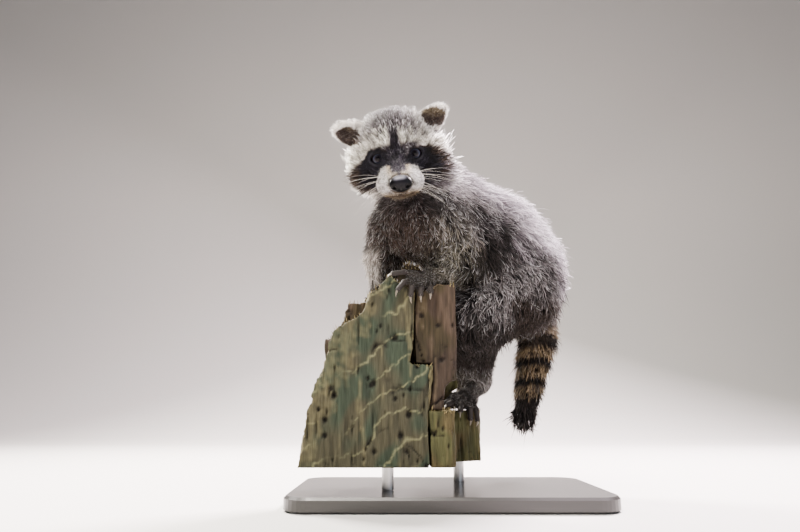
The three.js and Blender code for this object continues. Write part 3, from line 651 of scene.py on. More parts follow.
# Painted shade in the fold behind the left fore leg, from under the cheek to the flank and round to the
# knee.
SHADED = [(-12, -53, 250), (8, -48, 242), (28, -42, 238), (43, -35, 228), (37, -31, 209), (20, -36, 196)]
TOWARD_CAMERA = np.array([0, -0.97, -0.22])     # the way to the camera; painted rim light goes where the coat turns away from it


def markings(p, furry=True):
    """Root and tip colours of the skin and its hair at each point, by places in mm; painted light, painted
    rim light and painted shade are among them.
    """
    forms, shares = form_shares(p)
    dyes = [DYES[f.dye] for f in forms]
    pair = [shares @ np.array([dye[i] for dye in dyes]) for i in (0, 1)]
    kind = {name: shares[:, [f.dye == name for f in forms]].sum(1) for name in
            ("flank", "crown", "tail", "ear", "neck", "throat", "chest", "thigh", "shank", "upper_arm")}
    _, out = slope(body_distance, p, 1.5)
    # Painted light: the flank takes the pale back colours where its coat faces up toward the right rim
    # lamp, and high up and to the rear.
    lit = ramp(out @ unit([0.55, 0.25, 0.8]), 0.05, 0.65)
    lit = lit + 0.4 * ramp(p[:, 0], 58, 76) + 0.5 * ramp(p[:, 2], 204, 222) - 0.36
    lit = lit + 0.22 * waves(p, 22, 5)
    pair = paint(pair, kind["flank"] * np.clip(lit, 0, 1), "back")
    # Painted rim light: pale hair where the chest and throat turn away from the camera on the left, and
    # down the far arm's outer edge.
    turned = out @ TOWARD_CAMERA
    painted_rim = 0.75 * (kind["chest"] + kind["throat"]) * ramp(turned, 0.45, 0.1)
    painted_rim = painted_rim * ramp(out[:, 0], -0.4, -0.75)
    arm_rim_light = ramp(p[:, 0], -55, -61) * ramp(p[:, 2], 220, 208) * ramp(p[:, 2], 181, 189)
    pair = paint(pair, np.clip(painted_rim + 0.9 * arm_rim_light, 0, 1), "painted_rim_light")
    # Painted shade on the upper nape, where the neck meets the head: the crown's dark colours.
    pair = paint(pair, 0.55 * kind["neck"] * ramp(p[:, 2], 268, 284), "crown")
    low = p[:, 2] + 3 * waves(p, 16, 15)
    rump = ramp(low, 184, 164) * ramp(p[:, 0], 42, 66)
    pair = paint(pair, 0.95 * rump * (1 - kind["tail"]), "rump")
    leg = (kind["thigh"] + kind["shank"]) * ramp(low, 162, 138) * ramp(low, 106, 118)
    pair = paint(pair, 0.92 * leg, "leg_dark")
    axis = np.interp(p[:, 2], [68, 96, 120, 140, 158], [78, 84, 90, 95, 94])
    height = p[:, 2] + 0.55 * waves(p, 12, 9) + 0.013 * np.minimum(np.abs(p[:, 0] - axis), 18) ** 2
    rings = np.zeros(len(p))
    for top, foot in ((147, 137), (127, 118.5), (108, 99.5), (88.5, 40)):
        rings = np.maximum(rings, ramp(height, top + 1.5, top - 1.5) * ramp(height, foot - 1.5, foot + 1.5))
    pair = paint(pair, kind["tail"] * rings, "tail_dark")
    pair = paint(pair, kind["tail"] * ramp(height, 92, 78), "tail_tip")
    head = (kind["crown"] > 0.02) | (kind["throat"] > 0.02)
    head &= lengths(p - HEAD_ORIGIN) < HEAD_REACH + 5
    if head.any():
        painted = paint_head([c[head] for c in pair], p[head], furry)
        share = np.clip(kind["crown"][head] * 1.6, 0, 1)
        for colours, fresh in zip(pair, painted):
            colours[head] = mix(colours[head], share, fresh)
    for s in SIDES:
        centre, axes = ear_frame(s)
        local = (p - centre) @ axes.T
        cup = ramp(oval(local[:, 0], local[:, 2], *CUPS[s]) + 0.06 * waves(p, 5, 63), 1.1, 0.9)
        cup = cup * ramp(local[:, 1], -1.5, 0.2)
        cup = cup * (lengths(local) < EAR_REACH + 2)
        pair = paint(pair, cup, "ear_cup")
        tan = ramp(local @ unit(axes @ UP), 0, 5)
        pair = paint(pair, cup * tan, "ear_tan")
        behind = kind["ear"] * ramp(local[:, 1], 0, -2.5) * ramp(local[:, 2], 10, 4)
        pair = paint(pair, 0.75 * behind * (local[:, 0] ** 2 < 400), "crown")
    # Painted shade along that fold, kept off the crown and the near upper arm.
    side = 1 - np.clip(0.6 * kind["crown"] + 0.7 * kind["upper_arm"], 0, 1)
    shaded = path_distance(p, SHADED) + 2.2 * waves(p, 18, 12)
    pair = paint(pair, 0.92 * side * ramp(shaded, 19, 10), "painted_shade")
    return pair


def lie_of(p, out):
    """The way the hair runs along the skin, with the whorls that a loose coat has."""
    forms, shares = form_shares(p, 7.0)
    way = shares @ np.array([f.lie for f in forms])
    crown = shares[:, [f.dye == "crown" for f in forms]].sum(1)
    way = mix(way, crown, unit(p - NOSE_CENTRE))
    whorl = np.stack([waves(p, 16, 40 + i, 1) for i in range(3)], 1)
    fine = np.stack([waves(p, 6, 50 + i, 1) for i in range(3)], 1)
    loose = 0.10 + 0.22 * (1 - crown)
    way = way + loose[:, None] * (whorl + 0.7 * fine)
    for s in SIDES:
        away = p - eye_centre(s)
        by_eye = ramp(lengths(away), EYE_RADIUS + 9, EYE_RADIUS + 3)
        way = mix(way, by_eye, 1.2 * unit(away))
    return unit(way - out * (way * out).sum(1, keepdims=True))


# ---- meshes in Blender


def placed(name, data):
    """A new object in the scene with the given mesh, lamp or camera."""
    obj = bpy.data.objects.new(name, data)
    bpy.context.collection.objects.link(obj)
    return obj


def set_points(mesh, points):
    """Puts a mesh's vertices at points in mm."""
    mesh.vertices.foreach_set("co", (np.asarray(points) * MM).astype(np.float32).ravel())


def new_mesh(name, points, faces, material):
    """A smooth mesh object from points in mm. Faces are an array, or a list of arrays by size."""
    groups = faces if isinstance(faces, list) else [faces]
    mesh = bpy.data.meshes.new(name)
    corners = np.concatenate([f.ravel() for f in groups]).astype(np.int32)
    sizes = np.concatenate([np.full(len(f), f.shape[1]) for f in groups])
    mesh.vertices.add(len(points))
    set_points(mesh, points)
    mesh.loops.add(len(corners))
    mesh.loops.foreach_set("vertex_index", corners)
    mesh.polygons.add(len(sizes))
    starts = np.concatenate([[0], np.cumsum(sizes)[:-1]])
    mesh.polygons.foreach_set("loop_start", starts.astype(np.int32))
    mesh.polygons.foreach_set("use_smooth", np.ones(len(sizes), bool))
    mesh.update(calc_edges=True)
    mesh.validate()
    mesh.materials.append(material)
    return placed(name, mesh)


def applied(obj):
    """Makes what an object's modifiers give into its plain mesh."""
    mesh = bpy.data.meshes.new_from_object(obj.evaluated_get(bpy.context.evaluated_depsgraph_get()))
    obj.modifiers.clear()
    obj.data = mesh
    return mesh


def merged(mesh, reach, outward=False):
    """Joins a mesh's vertices that lie within reach, in metres, and may turn its faces outward."""
    work = bmesh.new()
    work.from_mesh(mesh)
    bmesh.ops.remove_doubles(work, verts=work.verts, dist=reach)
    if outward:
        bmesh.ops.recalc_face_normals(work, faces=work.faces)
    work.to_mesh(mesh)
    work.free()


def set_colours(obj, name, colours):
    """A colour for each vertex, as the named attribute."""
    attribute = obj.data.attributes.new(name, "FLOAT_COLOR", "POINT")
    rgba = np.concatenate([np.clip(colours, 0, 1), np.ones((len(colours), 1))], 1)
    attribute.data.foreach_set("color", rgba.astype(np.float32).ravel())


def add(tree, kind, settings=None, **inputs):
    """Adds a node with its settings; each input is a value, a socket to link or a node."""
    node = tree.nodes.new(kind)
    for key, value in (settings or {}).items():
        setattr(node, key, value)
    for key, value in inputs.items():
        socket = node.inputs[int(key[1:]) if key[1:].isdigit() else key.replace("_", " ")]
        if isinstance(value, bpy.types.Node):
            value = value.outputs[0]
        if isinstance(value, bpy.types.NodeSocket):
            tree.links.new(value, socket)
        else:
            socket.default_value = value
    return node


def grain(tree, size, detail=3, stretch=(1, 1, 1)):
    """Noise over the object's own coordinates; size is its grain in mm."""
    place = add(tree, "ShaderNodeTexCoord").outputs["Object"]
    scaled = add(tree, "ShaderNodeMapping", Vector=place, Scale=tuple(1 / s for s in stretch))
    return add(tree, "ShaderNodeTexNoise", Vector=scaled, Scale=1 / (size * MM), Detail=detail)


# A finish has: roughness, specular, metal and clear coat. Its colour is the name of a mesh's colour
# attribute, one hex colour, or two that noise mixes. Then come the noise's size in mm, detail and
# stretch, how dark and light it makes the colour, and the bump's depth in mm and strength.
Finish = namedtuple("Finish", "shine colour noise contrast bump", defaults=(None, None))
FINISHES = {
    # Soft keratin, half matt, with only a faint sheen on each lock.
    "Kit hair": Finish((0.72, 0.1), "Hair", (1.1,), (0.72, 1.28)),
    # Dry thin skin, dyed like the hair over it so that no gap shows pale.
    "Kit skin": Finish((0.65, 0.15), "Hair", (0.7, 4), (0.7, 1.3), (0.25, 0.7)),
    # A clear wet cornea over a nearly black iris, with small sharp highlights.
    "Wet eye": Finish((0.06, 0.1), "Iris", None),
    # Damp pebbled leather, with one broad soft highlight; its colours also hold a painted highlight and
    # painted shade.
    "Nose leather": Finish((0.34, 0.08, 0, 0.03), "Pad", (2.5,), (0.8, 1.25), (0.12, 0.5)),
    # Horn worn smooth by climbing, brown and a little glossy.
    "Claw horn": Finish((0.35, 0.5), ("#2a251f", "#8b806d"), (2.0,)),
    # Stiff hair, smooth enough to glint where it turns.
    "Whisker": Finish((0.35, 0.5), ("#8f8a82", "#ece8df"), (6.0,)),
    # Dry grey fibre that runs up the grain, quite matt.
    "Weathered wood": Finish((0.85, 0.2), "Wood", (1.0, 5, (1, 1, 14)), (0.45, 1.5), (0.9, 0.9)),
    # A soft gloss with the brush's faint waves.
    "Satin lacquer": Finish((0.32, 0.5, 0, 0.2), "#1f1d1b", (3.0, 2, (30, 1, 1)), (0.85, 1.2), (0.04, 0.4)),
    # Turned rod, with fine rings across its length.
    "Satin steel": Finish((0.3, 0.5, 1), "#a9a9a8", (0.6, 2, (20, 20, 1)), (0.9, 1.1), (0.02, 0.5)),
    # Matt painted board, almost even.
    "Pale floor": Finish((0.85, 0.2), "#bebbb7", (12, 2), (0.99, 1.01)),
}
SHINE = ("Roughness", "Specular IOR Level", "Metallic", "Coat Weight")
PEBBLE = 0.55                       # mm across the nose leather's pebbles


def finish(name, tint=None):
    """A new material from the table of finishes; tint stands in for its one colour."""
    look = FINISHES[name]
    material = bpy.data.materials.new(name)
    material.use_nodes = True
    tree = material.node_tree
    shader = tree.nodes["Principled BSDF"]
    for socket, value in zip(SHINE, look.shine):
        shader.inputs[socket].default_value = value
    shader.inputs["Coat Roughness"].default_value = 0.06
    noise = grain(tree, *look.noise).outputs[0] if look.noise else None
    if isinstance(look.colour, tuple):
        dark, pale = ((*linear(c), 1) for c in look.colour)
        mixed = add(tree, "ShaderNodeMix", {"data_type": "RGBA"}, Factor=noise, _6=dark, _7=pale)
        colour = mixed.outputs[2]
    elif look.colour.startswith("#"):
        colour = add(tree, "ShaderNodeRGB").outputs[0]
        colour.default_value = (*(linear(look.colour) if tint is None else tint), 1)
    else:
        colour = add(tree, "ShaderNodeAttribute", {"attribute_name": look.colour}).outputs["Color"]
    if look.contrast:
        low, high = look.contrast
        level = add(tree, "ShaderNodeMapRange", Value=noise, To_Min=low, To_Max=high)
        scaled = add(tree, "ShaderNodeVectorMath", {"operation": "SCALE"}, _0=colour, Scale=level)
        colour = scaled.outputs[0]
    tree.links.new(colour, shader.inputs["Base Color"])
    if name == "Nose leather":
        place = add(tree, "ShaderNodeTexCoord").outputs["Object"]
        noise = add(tree, "ShaderNodeTexVoronoi", Vector=place, Scale=1 / (PEBBLE * MM)).outputs["Distance"]
    if look.bump:
        depth, strength = look.bump
        node = add(tree, "ShaderNodeBump", Height=noise, Distance=depth * MM, Strength=strength)
        tree.links.new(node.outputs["Normal"], shader.inputs["Normal"])
    return material


# ---- skin and coat


def flesh_box(margin):
    """The lowest and highest corners of the flesh, in mm."""
    boxes = [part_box(node) for node in FLESH]
    low = np.min([b[0] for b in boxes], 0) / MM - margin
    return low, np.max([b[1] for b in boxes], 0) / MM + margin


def skin_mesh(cell, fine):
    """The skin's vertices and quads, finest over the front of the face."""
    low, high = flesh_box(3)
    face = (head_point(0, 30, -30), head_point(0, 0, 10))
    spans = [(face[0][0] - 32, face[0][0] + 34), (face[0][1] - 4, face[1][1] + 2),
             (face[0][2] - 4, face[1][2] + 6)]
    axes = [spaced(low[d], high[d], *spans[d], cell, fine) for d in range(3)]
    points, quads = surface_net(axes, near_values(axes, skin_distance))
    return settle(points, skin_distance, 0.3 * fine), quads


def scatter(points, quads, count, rng):
    """About count places on the skin, closer together where the coat is short."""
    corners = points[quads]
    middle = corners.mean(1)
    across = corners[:, 2] - corners[:, 0]
    other = corners[:, 3] - corners[:, 1]
    area = lengths(np.cross(across, other)) / 2
    depth = -body_distance(middle, True)
    local = in_head(middle)
    bare = np.zeros(len(middle), bool)
    for s in SIDES:
        bare |= lengths(middle - eye_centre(s)) < EYE_RADIUS + 1.5
    bare |= lengths((middle - NOSE_CENTRE) @ HEAD.T / (np.array(NOSE_SIZE) / 2 + 0.1)) < 1
    by_ear = [lengths(middle - ear_frame(s)[0]) < EAR_REACH for s in SIDES]
    by_palm = np.zeros(len(middle), bool)
    for _, palm, _, _ in PAWS:
        by_palm |= lengths(middle - palm) < PALM_REACH
    bare |= (depth < 0.15) & ~(by_ear[0] | by_ear[1] | by_palm)
    bare |= path_distance(local, MOUTH) < 1.1
    face = ramp(local[:, 1], -40, -10) * (lengths(local) < HEAD_REACH)
    weight = area * (1 + 0.9 * face) / (np.maximum(depth, 0.6) + 1.2) * ~bare
    wanted = weight * count / weight.sum()
    times = np.floor(wanted + rng.random(len(wanted))).astype(int)
    pick = np.repeat(np.arange(len(quads)), times)
    u, v = rng.random((2, len(pick), 1))
    q = corners[pick]
    return (q[:, 0] * (1 - u) + q[:, 1] * u) * (1 - v) + (q[:, 3] * (1 - u) + q[:, 2] * u) * v


ROOT_SUNK = 0.4                     # mm that a lock starts under the skin
FLATTEST, STEEPEST = 0.27, 1.2      # how far a lock leans up from the skin, in radians


def lock_path(root, out, lie, depth, rise, follow, rng):
    """Four points along each lock: from just under the skin, bending over to lie along it."""
    reach = depth / np.tan(np.clip(rise, FLATTEST, STEEPEST))
    steps = [root - out * ROOT_SUNK]
    for share in (0.34, 0.68, 1.0):
        height = depth * (1 - (1 - share) ** 1.7)
        p = root + lie * (reach * share)[:, None] + out * height[:, None]
        here, way = slope(body_distance, p)
        p = p + way * (np.clip(height - here, -12, 12) * follow)[:, None]
        steps.append(p)
    jitter = unit(rng.normal(size=root.shape)) * (reach * 0.1)[:, None]
    steps[2] = steps[2] + jitter * 0.5
    steps[3] = steps[3] + jitter * 1.4
    return np.stack(steps, 1)


HEAD_RADIUS = 45                    # mm, of the ball that the head is unrolled from
CHARTS = ["head", "ear_left", "ear_right", "neck", "trunk", "tail", "foreleg_left",
          "foreleg_right", "hindleg_left", "hindleg_right"]


def chart_of(p):
    """The number of the body part that each point belongs to."""
    best, chart = np.full(len(p), FAR_OFF), np.zeros(len(p), int)
    for name, _, forms in GROUPS:
        for form in forms:
            d = form_distance(form, p)
            closer = d < best
            best[closer] = d[closer]
            chart[closer] = CHARTS.index(name)
    return chart


def unrolled(p, name):
    """The skin unrolled round the part's own middle line: turns round it, and mm along it."""
    if name == "head":
        centre, axes = head_point(0, -18, -6), HEAD
        local = (p - centre) @ axes.T
        along = np.arccos(np.clip(unit(local)[:, 1], -1, 1)) * HEAD_RADIUS
        return np.arctan2(local[:, 0], local[:, 2]) / (2 * math.pi), along
    forms = [f for group, _, some in GROUPS if group == name for f in some]
    if forms[0].b is None:
        centre, axes = ear_frame(1 if name.endswith("left") else -1)
        local = (p - centre) @ axes.T
        return np.arctan2(local[:, 0], local[:, 1]) / (2 * math.pi), local[:, 2]
    best, along, turn = np.full(len(p), FAR_OFF), np.zeros(len(p)), np.zeros(len(p))
    start = 0.0
    for form in forms:
        if form.dye == "digit":
            continue
        way = form.b - form.a
        length = np.linalg.norm(way)
        front = unit(np.cross(way, (0.3, 1, 0.2)))
        t = (p - form.a) @ way / length
        off = p - form.a - np.clip(t, 0, length)[:, None] * way / length
        d = form_distance(form, p)
        closer = d < best
        best[closer] = d[closer]
        along[closer] = start + t[closer]
        side = np.cross(way / length, front)
        turn[closer] = np.arctan2(off[closer] @ front, off[closer] @ side) / (2 * math.pi)
        start += length
    return turn, along


PATCH = 0.003                       # the side of each lock's own patch of the map
LOCKS_IN_PIECE = 16000              # keeps each mesh under 200,000 triangles
GUARD_SHARE, STRAY_SHARE = 0.3, 0.07
UPPER_RING, CREST = 0.72, 0.42      # of a lock's width: its upper ring, and its ridge's height


def lock_object(name, path, out, width, level_colours, place, material):
    """One mesh of closed three-sided locks, each with its own small patch of the OFBake map."""
    count = len(path)
    way = unit(path[:, 3] - path[:, 0])
    side = unit(np.cross(way, out))
    crest = unit(np.cross(side, way))
    points = np.empty((count, 8, 3))
    points[:, 0] = path[:, 0]
    for ring, (step, full) in enumerate(((1, 1.0), (2, UPPER_RING))):
        half = side * (width * full / 2)[:, None]
        high = crest * (width * full * CREST)[:, None]
        for corner, offset in enumerate((-half, high, half)):
            points[:, 1 + 3 * ring + corner] = path[:, step] + offset
    points[:, 7] = path[:, 3]
    turn = [(0, 1), (1, 2), (2, 0)]
    triangles = [(1 + b, 1 + a, 0) for a, b in turn] + [(4 + a, 4 + b, 7) for a, b in turn]
    quads = [(1 + a, 1 + b, 4 + b, 4 + a) for a, b in turn]
    first = np.arange(count)[:, None, None] * 8
    three = (first + np.array(triangles)).reshape(-1, 3)
    four = (first + np.array(quads)).reshape(-1, 4)
    obj = new_mesh(name, points.reshape(-1, 3), [three, four], material)
    set_colours(obj, "Hair", level_colours[:, (0, 1, 1, 1, 2, 2, 2, 3)].reshape(-1, 3))
    shift = np.arange(3)[:, None, None] * (1, 0)
    caps = [np.array(cap) + shift for cap in (((1, 1), (0, 1), (0.5, 0)), ((0, 2), (1, 2), (0.5, 3)))]
    walls = np.array(((0, 1), (1, 1), (1, 2), (0, 2))) + shift
    corner = (place - PATCH / 2)[:, None]
    uv = [(corner + PATCH / 3 * np.reshape(part, (-1, 2))).reshape(-1, 2) for part in (caps, walls)]
    layer = obj.data.uv_layers.new(name="OFBake")
    layer.uv.foreach_set("vector", np.concatenate(uv).astype(np.float32).ravel())
    return obj


def spread_out(values):
    """Values scaled to leave a small margin inside 0 to 1."""
    low, high = values.min(), values.max()
    return 0.01 + 0.98 * (values - low) / max(high - low, 1e-6)


def lock_colours(path, rng):
    """Colours at four levels of each lock, with pale and dark guard hairs among them."""
    root, tip = markings(path[:, 1] * 0.35 + path[:, 2] * 0.65)
    chance = rng.random(len(path))[:, None]
    clumps = 0.24 * waves(path[:, 0], 6.5, 61, 2)[:, None]
    shade = np.clip(rng.normal(1, 0.18, (len(path), 1)) + clumps, 0.3, 1.7)
    bright = tip.mean(1, keepdims=True)
    grizzled = ramp(bright, 0.6, 0.35) * ramp(bright, 0.008, 0.06)
    brownish = ramp(tip[:, :1] / (tip[:, 2:] + 1e-3), 1.5, 2.2)
    grizzled = grizzled * (1 - 0.7 * brownish)
    pale = np.where(chance > 0.74, 0.40, 0.0) * grizzled * ramp(bright, 0.012, 0.07)
    dark = np.where(chance < 0.3, 0.7, 0.0) * grizzled
    tip = (tip + (0.92 - tip) * pale) * (1 - dark)
    middle = root * 0.55 + tip * 0.45
    middle = np.where(chance > 0.72, root * 0.8 + tip * 0.2, middle)
    levels = np.stack([root * 0.6, root, middle, tip], 1) * shade[:, None]
    return np.clip(levels, 0.004, 0.95)


def grow_coat(points, quads, locks, width, material):
    """Locks over the whole skin, as one or more meshes for each part of the body."""
    rng = np.random.default_rng(SEED)
    root = scatter(points, quads, locks, rng)
    _, out = slope(body_distance, root)
    depth = np.clip(-body_distance(root, True), 0.35, 12)
    chart = chart_of(root)
    local = in_head(root)
    snout = ramp(lengths(root - NOSE_CENTRE), 34, 24)
    depth = np.maximum(depth, 1.3 * snout)
    for _, palm, _, _ in PAWS:
        depth = np.maximum(depth, 1.5 * ramp(lengths(root - palm), PALM_REACH, PALM_REACH - 4))
    follow = np.full(len(root), 0.85)
    for s, side in SIDES.items():
        mine = chart == CHARTS.index("ear_" + side)
        centre, axes = ear_frame(s)
        across, facing, outer = ((root - centre) @ axes.T).T
        inner = ramp(oval(across, outer, *CUPS[s]), 1.1, 0.85) * ramp(facing, -0.5, 0.5)
        rim = ramp(facing, 3.5, 0.5) * (1 - inner)
        depth = np.where(mine, 1.3 + 1.1 * rim + 0.7 * rim * ramp(outer, 4, 15), depth)
        follow = np.where(mine, 0.5 + 0.4 * inner, follow)
    lie = lie_of(root, out)
    crown = ramp(local[:, 2], 12, 34) * ramp(lengths(local), HEAD_REACH, HEAD_REACH - 15)
    guard = rng.random(len(root)) < GUARD_SHARE
    stray = (rng.random(len(root)) < STRAY_SHARE) * (lengths(local) > HEAD_REACH + 5)
    cheek = (chart == CHARTS.index("head")) * ramp(local[:, 2], 20, 12)
    wide_cheek = cheek * ramp(np.abs(local[:, 0]), 32, 40)
    rise = 0.5 + 0.12 * rng.normal(size=len(root)) + 0.5 * crown + 0.16 * guard + 0.25 * stray
    rise = rise - 0.1 * cheek - 0.14 * wide_cheek
    depth = depth * rng.uniform(0.62, 1.0, len(root)) * np.where(guard, 1.22 + 0.5 * crown, 1.0)
    depth = depth * (1 - 0.14 * crown)
    depth = depth * (1 + 0.45 * stray) * (1 - 0.34 * wide_cheek)
    brush = (chart == CHARTS.index("tail")) * ramp(root[:, 2], 82, 72)
    depth = depth * (1 + 0.6 * brush)
    path = lock_path(root, out, lie, depth, rise, follow, rng)
    span = lengths(path[:, 3] - path[:, 0])
    girth = width * np.clip(span / 15, 0.42, 1.1) * np.where(guard, 0.62, 1.0)
    girth = girth * rng.uniform(0.75, 1.3, len(root))
    colours = lock_colours(path, rng)
    pieces = []
    for number, name in enumerate(CHARTS):
        mine = np.flatnonzero(chart == number)
        turn, along = unrolled(root[mine], name)
        order = np.argsort(along)
        parts = max(1, math.ceil(len(mine) / LOCKS_IN_PIECE))
        for i, some in enumerate(np.array_split(order, parts)):
            at = mine[some]
            place = np.stack([0.01 + 0.98 * (turn[some] + 0.5), spread_out(along[some])], 1)
            label = "coat_" + name + ("_%d" % (i + 1) if parts > 1 else "")
            pieces.append(lock_object(label, path[at], out[at], girth[at], colours[at], place, material))
    return pieces


# ---- eyes, lids and nose


def ball_mesh(rings, turns):
    """Points of a unit ball round +Z and its faces, poles closed with triangles."""
    tilt = math.pi * np.arange(1, rings)[:, None] / rings
    turn = 2 * math.pi * np.arange(turns) / turns
    flat = np.sin(tilt)
    belt = np.stack([flat * np.cos(turn), flat * np.sin(turn), np.cos(tilt) + 0 * turn], -1)
    points = np.concatenate([[(0, 0, 1)], belt.reshape(-1, 3), [(0, 0, -1)]])
    at = 1 + np.arange((rings - 1) * turns).reshape(rings - 1, turns)
    after = np.roll(at, -1, 1)
    top, bottom = 0 * at[0], 0 * at[0] + len(points) - 1
    caps = np.concatenate([np.stack([top, at[0], after[0]], 1), np.stack([bottom, after[-1], at[-1]], 1)])
    walls = np.stack([at[:-1], at[1:], after[1:], after[:-1]], -1).reshape(-1, 4)
    return points, [caps, walls]


IRIS_EDGE, PUPIL_EDGE = 40, 17      # degrees round from the gaze
IRIS_SPOKES = 34
RIM_WIDE, RIM_THICK = 0.75, 0.6     # mm, half across the lid's rim and out of it


def eyeball(side, material):
    """An eyeball with its cornea raised; pupil, iris and a painted reflection ring as colours by angle."""
    unit_points, faces = ball_mesh(48, 64)
    gaze = unit(np.array(CAMERA_PLACE) - eye_centre(side))
    gaze = unit(gaze + 0.35 * eye_way(side))
    across = unit(np.cross(gaze, HEAD[2]))
    axes = np.array([across, np.cross(gaze, across), gaze])
    angle = np.degrees(np.arccos(np.clip(unit_points[:, 2], -1, 1)))
    radius = EYE_RADIUS * (0.985 + 0.035 * ramp(angle, IRIS_EDGE + 6, PUPIL_EDGE + 3))
    points = eye_centre(side) + unit_points @ axes * radius[:, None]
    colours = np.tile(linear("#161318"), (len(points), 1))
    spokes = 0.5 + 0.5 * np.sin(np.arctan2(unit_points[:, 1], unit_points[:, 0]) * IRIS_SPOKES)
    iris = linear("#1d1a20") * (0.8 + 0.5 * spokes[:, None])
    colours = mix(colours, ramp(angle, IRIS_EDGE + 4, IRIS_EDGE), iris)
    # A pale blue-grey ring 31 to 41 degrees round the gaze: a painted reflection on the wet cornea.
    colours = mix(colours, ramp(angle, 41, 38) * ramp(angle, 31, 35), linear("#2e343f"))
    colours = mix(colours, ramp(angle, PUPIL_EDGE + 3, PUPIL_EDGE), linear("#050506"))
    obj = new_mesh("eyeball_" + SIDES[side], points, faces, material)
    set_colours(obj, "Iris", colours)
    return obj


def eyelid(side, material):
    """The lids' bare moist rim: a rounded band that follows the eye's almond opening."""
    across, up, out = eye_frame(side)
    steps, round_steps = 72, 12
    turn = np.linspace(0, 2 * math.pi, steps, endpoint=False)
    corner = np.abs(np.cos(turn)) ** 6
    wide = LID_WIDE * np.cos(turn) * (1 + 0.08 * corner)
    high = LID_HIGH * np.sin(turn) * (1 - 0.1 * corner)
    deep = np.sqrt(np.maximum((EYE_RADIUS + 0.25) ** 2 - wide ** 2 - high ** 2, 4))
    path = wide[:, None] * across + high[:, None] * up + deep[:, None] * out
    outward = unit(path)
    ahead = unit(np.roll(path, -1, 0) - np.roll(path, 1, 0))
    beside = np.cross(ahead, outward)
    around = [2 * math.pi * i / round_steps for i in range(round_steps)]
    points = [path + beside * RIM_WIDE * math.cos(a) + outward * RIM_THICK * math.sin(a) for a in around]
    points = np.stack(points, 1).reshape(-1, 3) + eye_centre(side)
    at = np.arange(len(points)).reshape(steps, round_steps)
    after = np.roll(at, -1, 0)
    faces = np.stack([at, np.roll(at, -1, 1), np.roll(after, -1, 1), after], -1).reshape(-1, 4)
    obj = new_mesh("eyelid_" + SIDES[side], points, faces, material)
    set_colours(obj, "Hair", np.tile(linear("#060507"), (len(points), 1)))
    return obj


def nostril(side):
    """A nostril's hole and the slit from it round the side, as paths in the nose's frame."""
    hole = [(side * 4.6, 5.6, -2.9), (side * 5.4, 3.0, -2.4)]
    slit = [(side * 5.2, 4.8, -2.9), (side * 7.2, 3.2, -2.6), (side * 8.8, 1.0, -1.4)]
    return hole, slit


def nose_distance(q):
    """The nose pad, in its own frame: a rounded wedge with comma nostrils and a middle groove."""
    wide, deep, high = (s / 2 for s in NOSE_SIZE)
    x, y, z = q[:, 0] / wide, q[:, 1] / deep, q[:, 2] / high
    x = x * (1 + 0.16 * ramp(-z, -0.1, 1))
    round_pad = (np.abs(x) ** 2.4 + np.abs(y) ** 2.2 + np.abs(z) ** 2.3) ** (1 / 2.3)
    pad = (round_pad - 1) * high * 0.9
    for s in SIDES:
        hole, slit = nostril(s)
        pad = -melted(-pad, path_distance(q, hole) - 1.1, 1.0)
        pad = -melted(-pad, path_distance(q, slit) - 0.55, 0.8)
    groove = path_distance(q, [(0, 5.9, -0.6), (0, 5.2, -3.2), (0, 3.2, -6.2)]) - 0.35
    return -melted(-pad, groove, 0.6)


def nose_pad(material):
    """The nose's mesh, with painted shade inside the nostrils and a painted highlight down its middle and
    across its top.
    """
    half, cell = np.array([10.5, 8, 8.5]), 0.42
    axes = [np.arange(-h, h, cell) for h in half]
    points, quads = surface_net(axes, near_values(axes, nose_distance))
    points = settle(points, nose_distance, 0.1)
    z = points[:, 2] / half[2]
    # The head's frame is left-handed, so its faces are turned over.
    obj = new_mesh("nose_pad", NOSE_CENTRE + points @ HEAD, quads[:, ::-1], material)
    colours = np.tile(linear("#040405"), (len(points), 1))
    # Painted highlight: a faint grey sheen down the middle and a pale band across the top.
    middle = ramp(np.abs(points[:, 0]), 6.5, 2.5)
    colours = mix(colours, 0.5 * middle * ramp(z, -0.5, 0.2), linear("#16151a"))
    colours = mix(colours, middle * ramp(z, 0.3, 0.62), linear("#66656e"))
    # Painted shade inside the nostrils and along their slits.
    for s in SIDES:
        hole, slit = nostril(s)
        deep = np.minimum(path_distance(points, hole), path_distance(points, slit) + 0.7)
        colours = mix(colours, ramp(deep, 2.2, 1.5), linear("#010101"))
    set_colours(obj, "Pad", colours)
    return obj


# ---- claws, whiskers and splinters


def strand_tree(name):
    """A node tree that makes each edge path a tapered strand, as thick as its own girth."""
    tree = bpy.data.node_groups.new(name, "GeometryNodeTree")
    for socket, way, kind in (("Geometry", "INPUT", "Geometry"), ("Sides", "INPUT", "Int"),
                              ("Finish", "INPUT", "Material"), ("Geometry", "OUTPUT", "Geometry")):
        tree.interface.new_socket(socket, in_out=way, socket_type="NodeSocket" + kind)
    given = add(tree, "NodeGroupInput")
    curve = add(tree, "GeometryNodeMeshToCurve", Mesh=given.outputs["Geometry"])
    girth = add(tree, "GeometryNodeInputNamedAttribute", {"data_type": "FLOAT"}, Name="girth")
    thick = add(tree, "GeometryNodeSetCurveRadius", Curve=curve, Radius=girth.outputs[0])
    ring = add(tree, "GeometryNodeCurvePrimitiveCircle", Resolution=given.outputs["Sides"], Radius=1.0)
    strand = add(tree, "GeometryNodeCurveToMesh", Curve=thick, Profile_Curve=ring.outputs["Curve"],
                 Fill_Caps=True, Scale=girth.outputs[0])
    smooth = add(tree, "GeometryNodeSetShadeSmooth", Geometry=strand)
    real = add(tree, "GeometryNodeRealizeInstances", Geometry=smooth)
    painted = add(tree, "GeometryNodeSetMaterial", Geometry=real, Material=given.outputs["Finish"])
    tree.links.new(painted.outputs[0], add(tree, "NodeGroupOutput").inputs[0])
    return tree


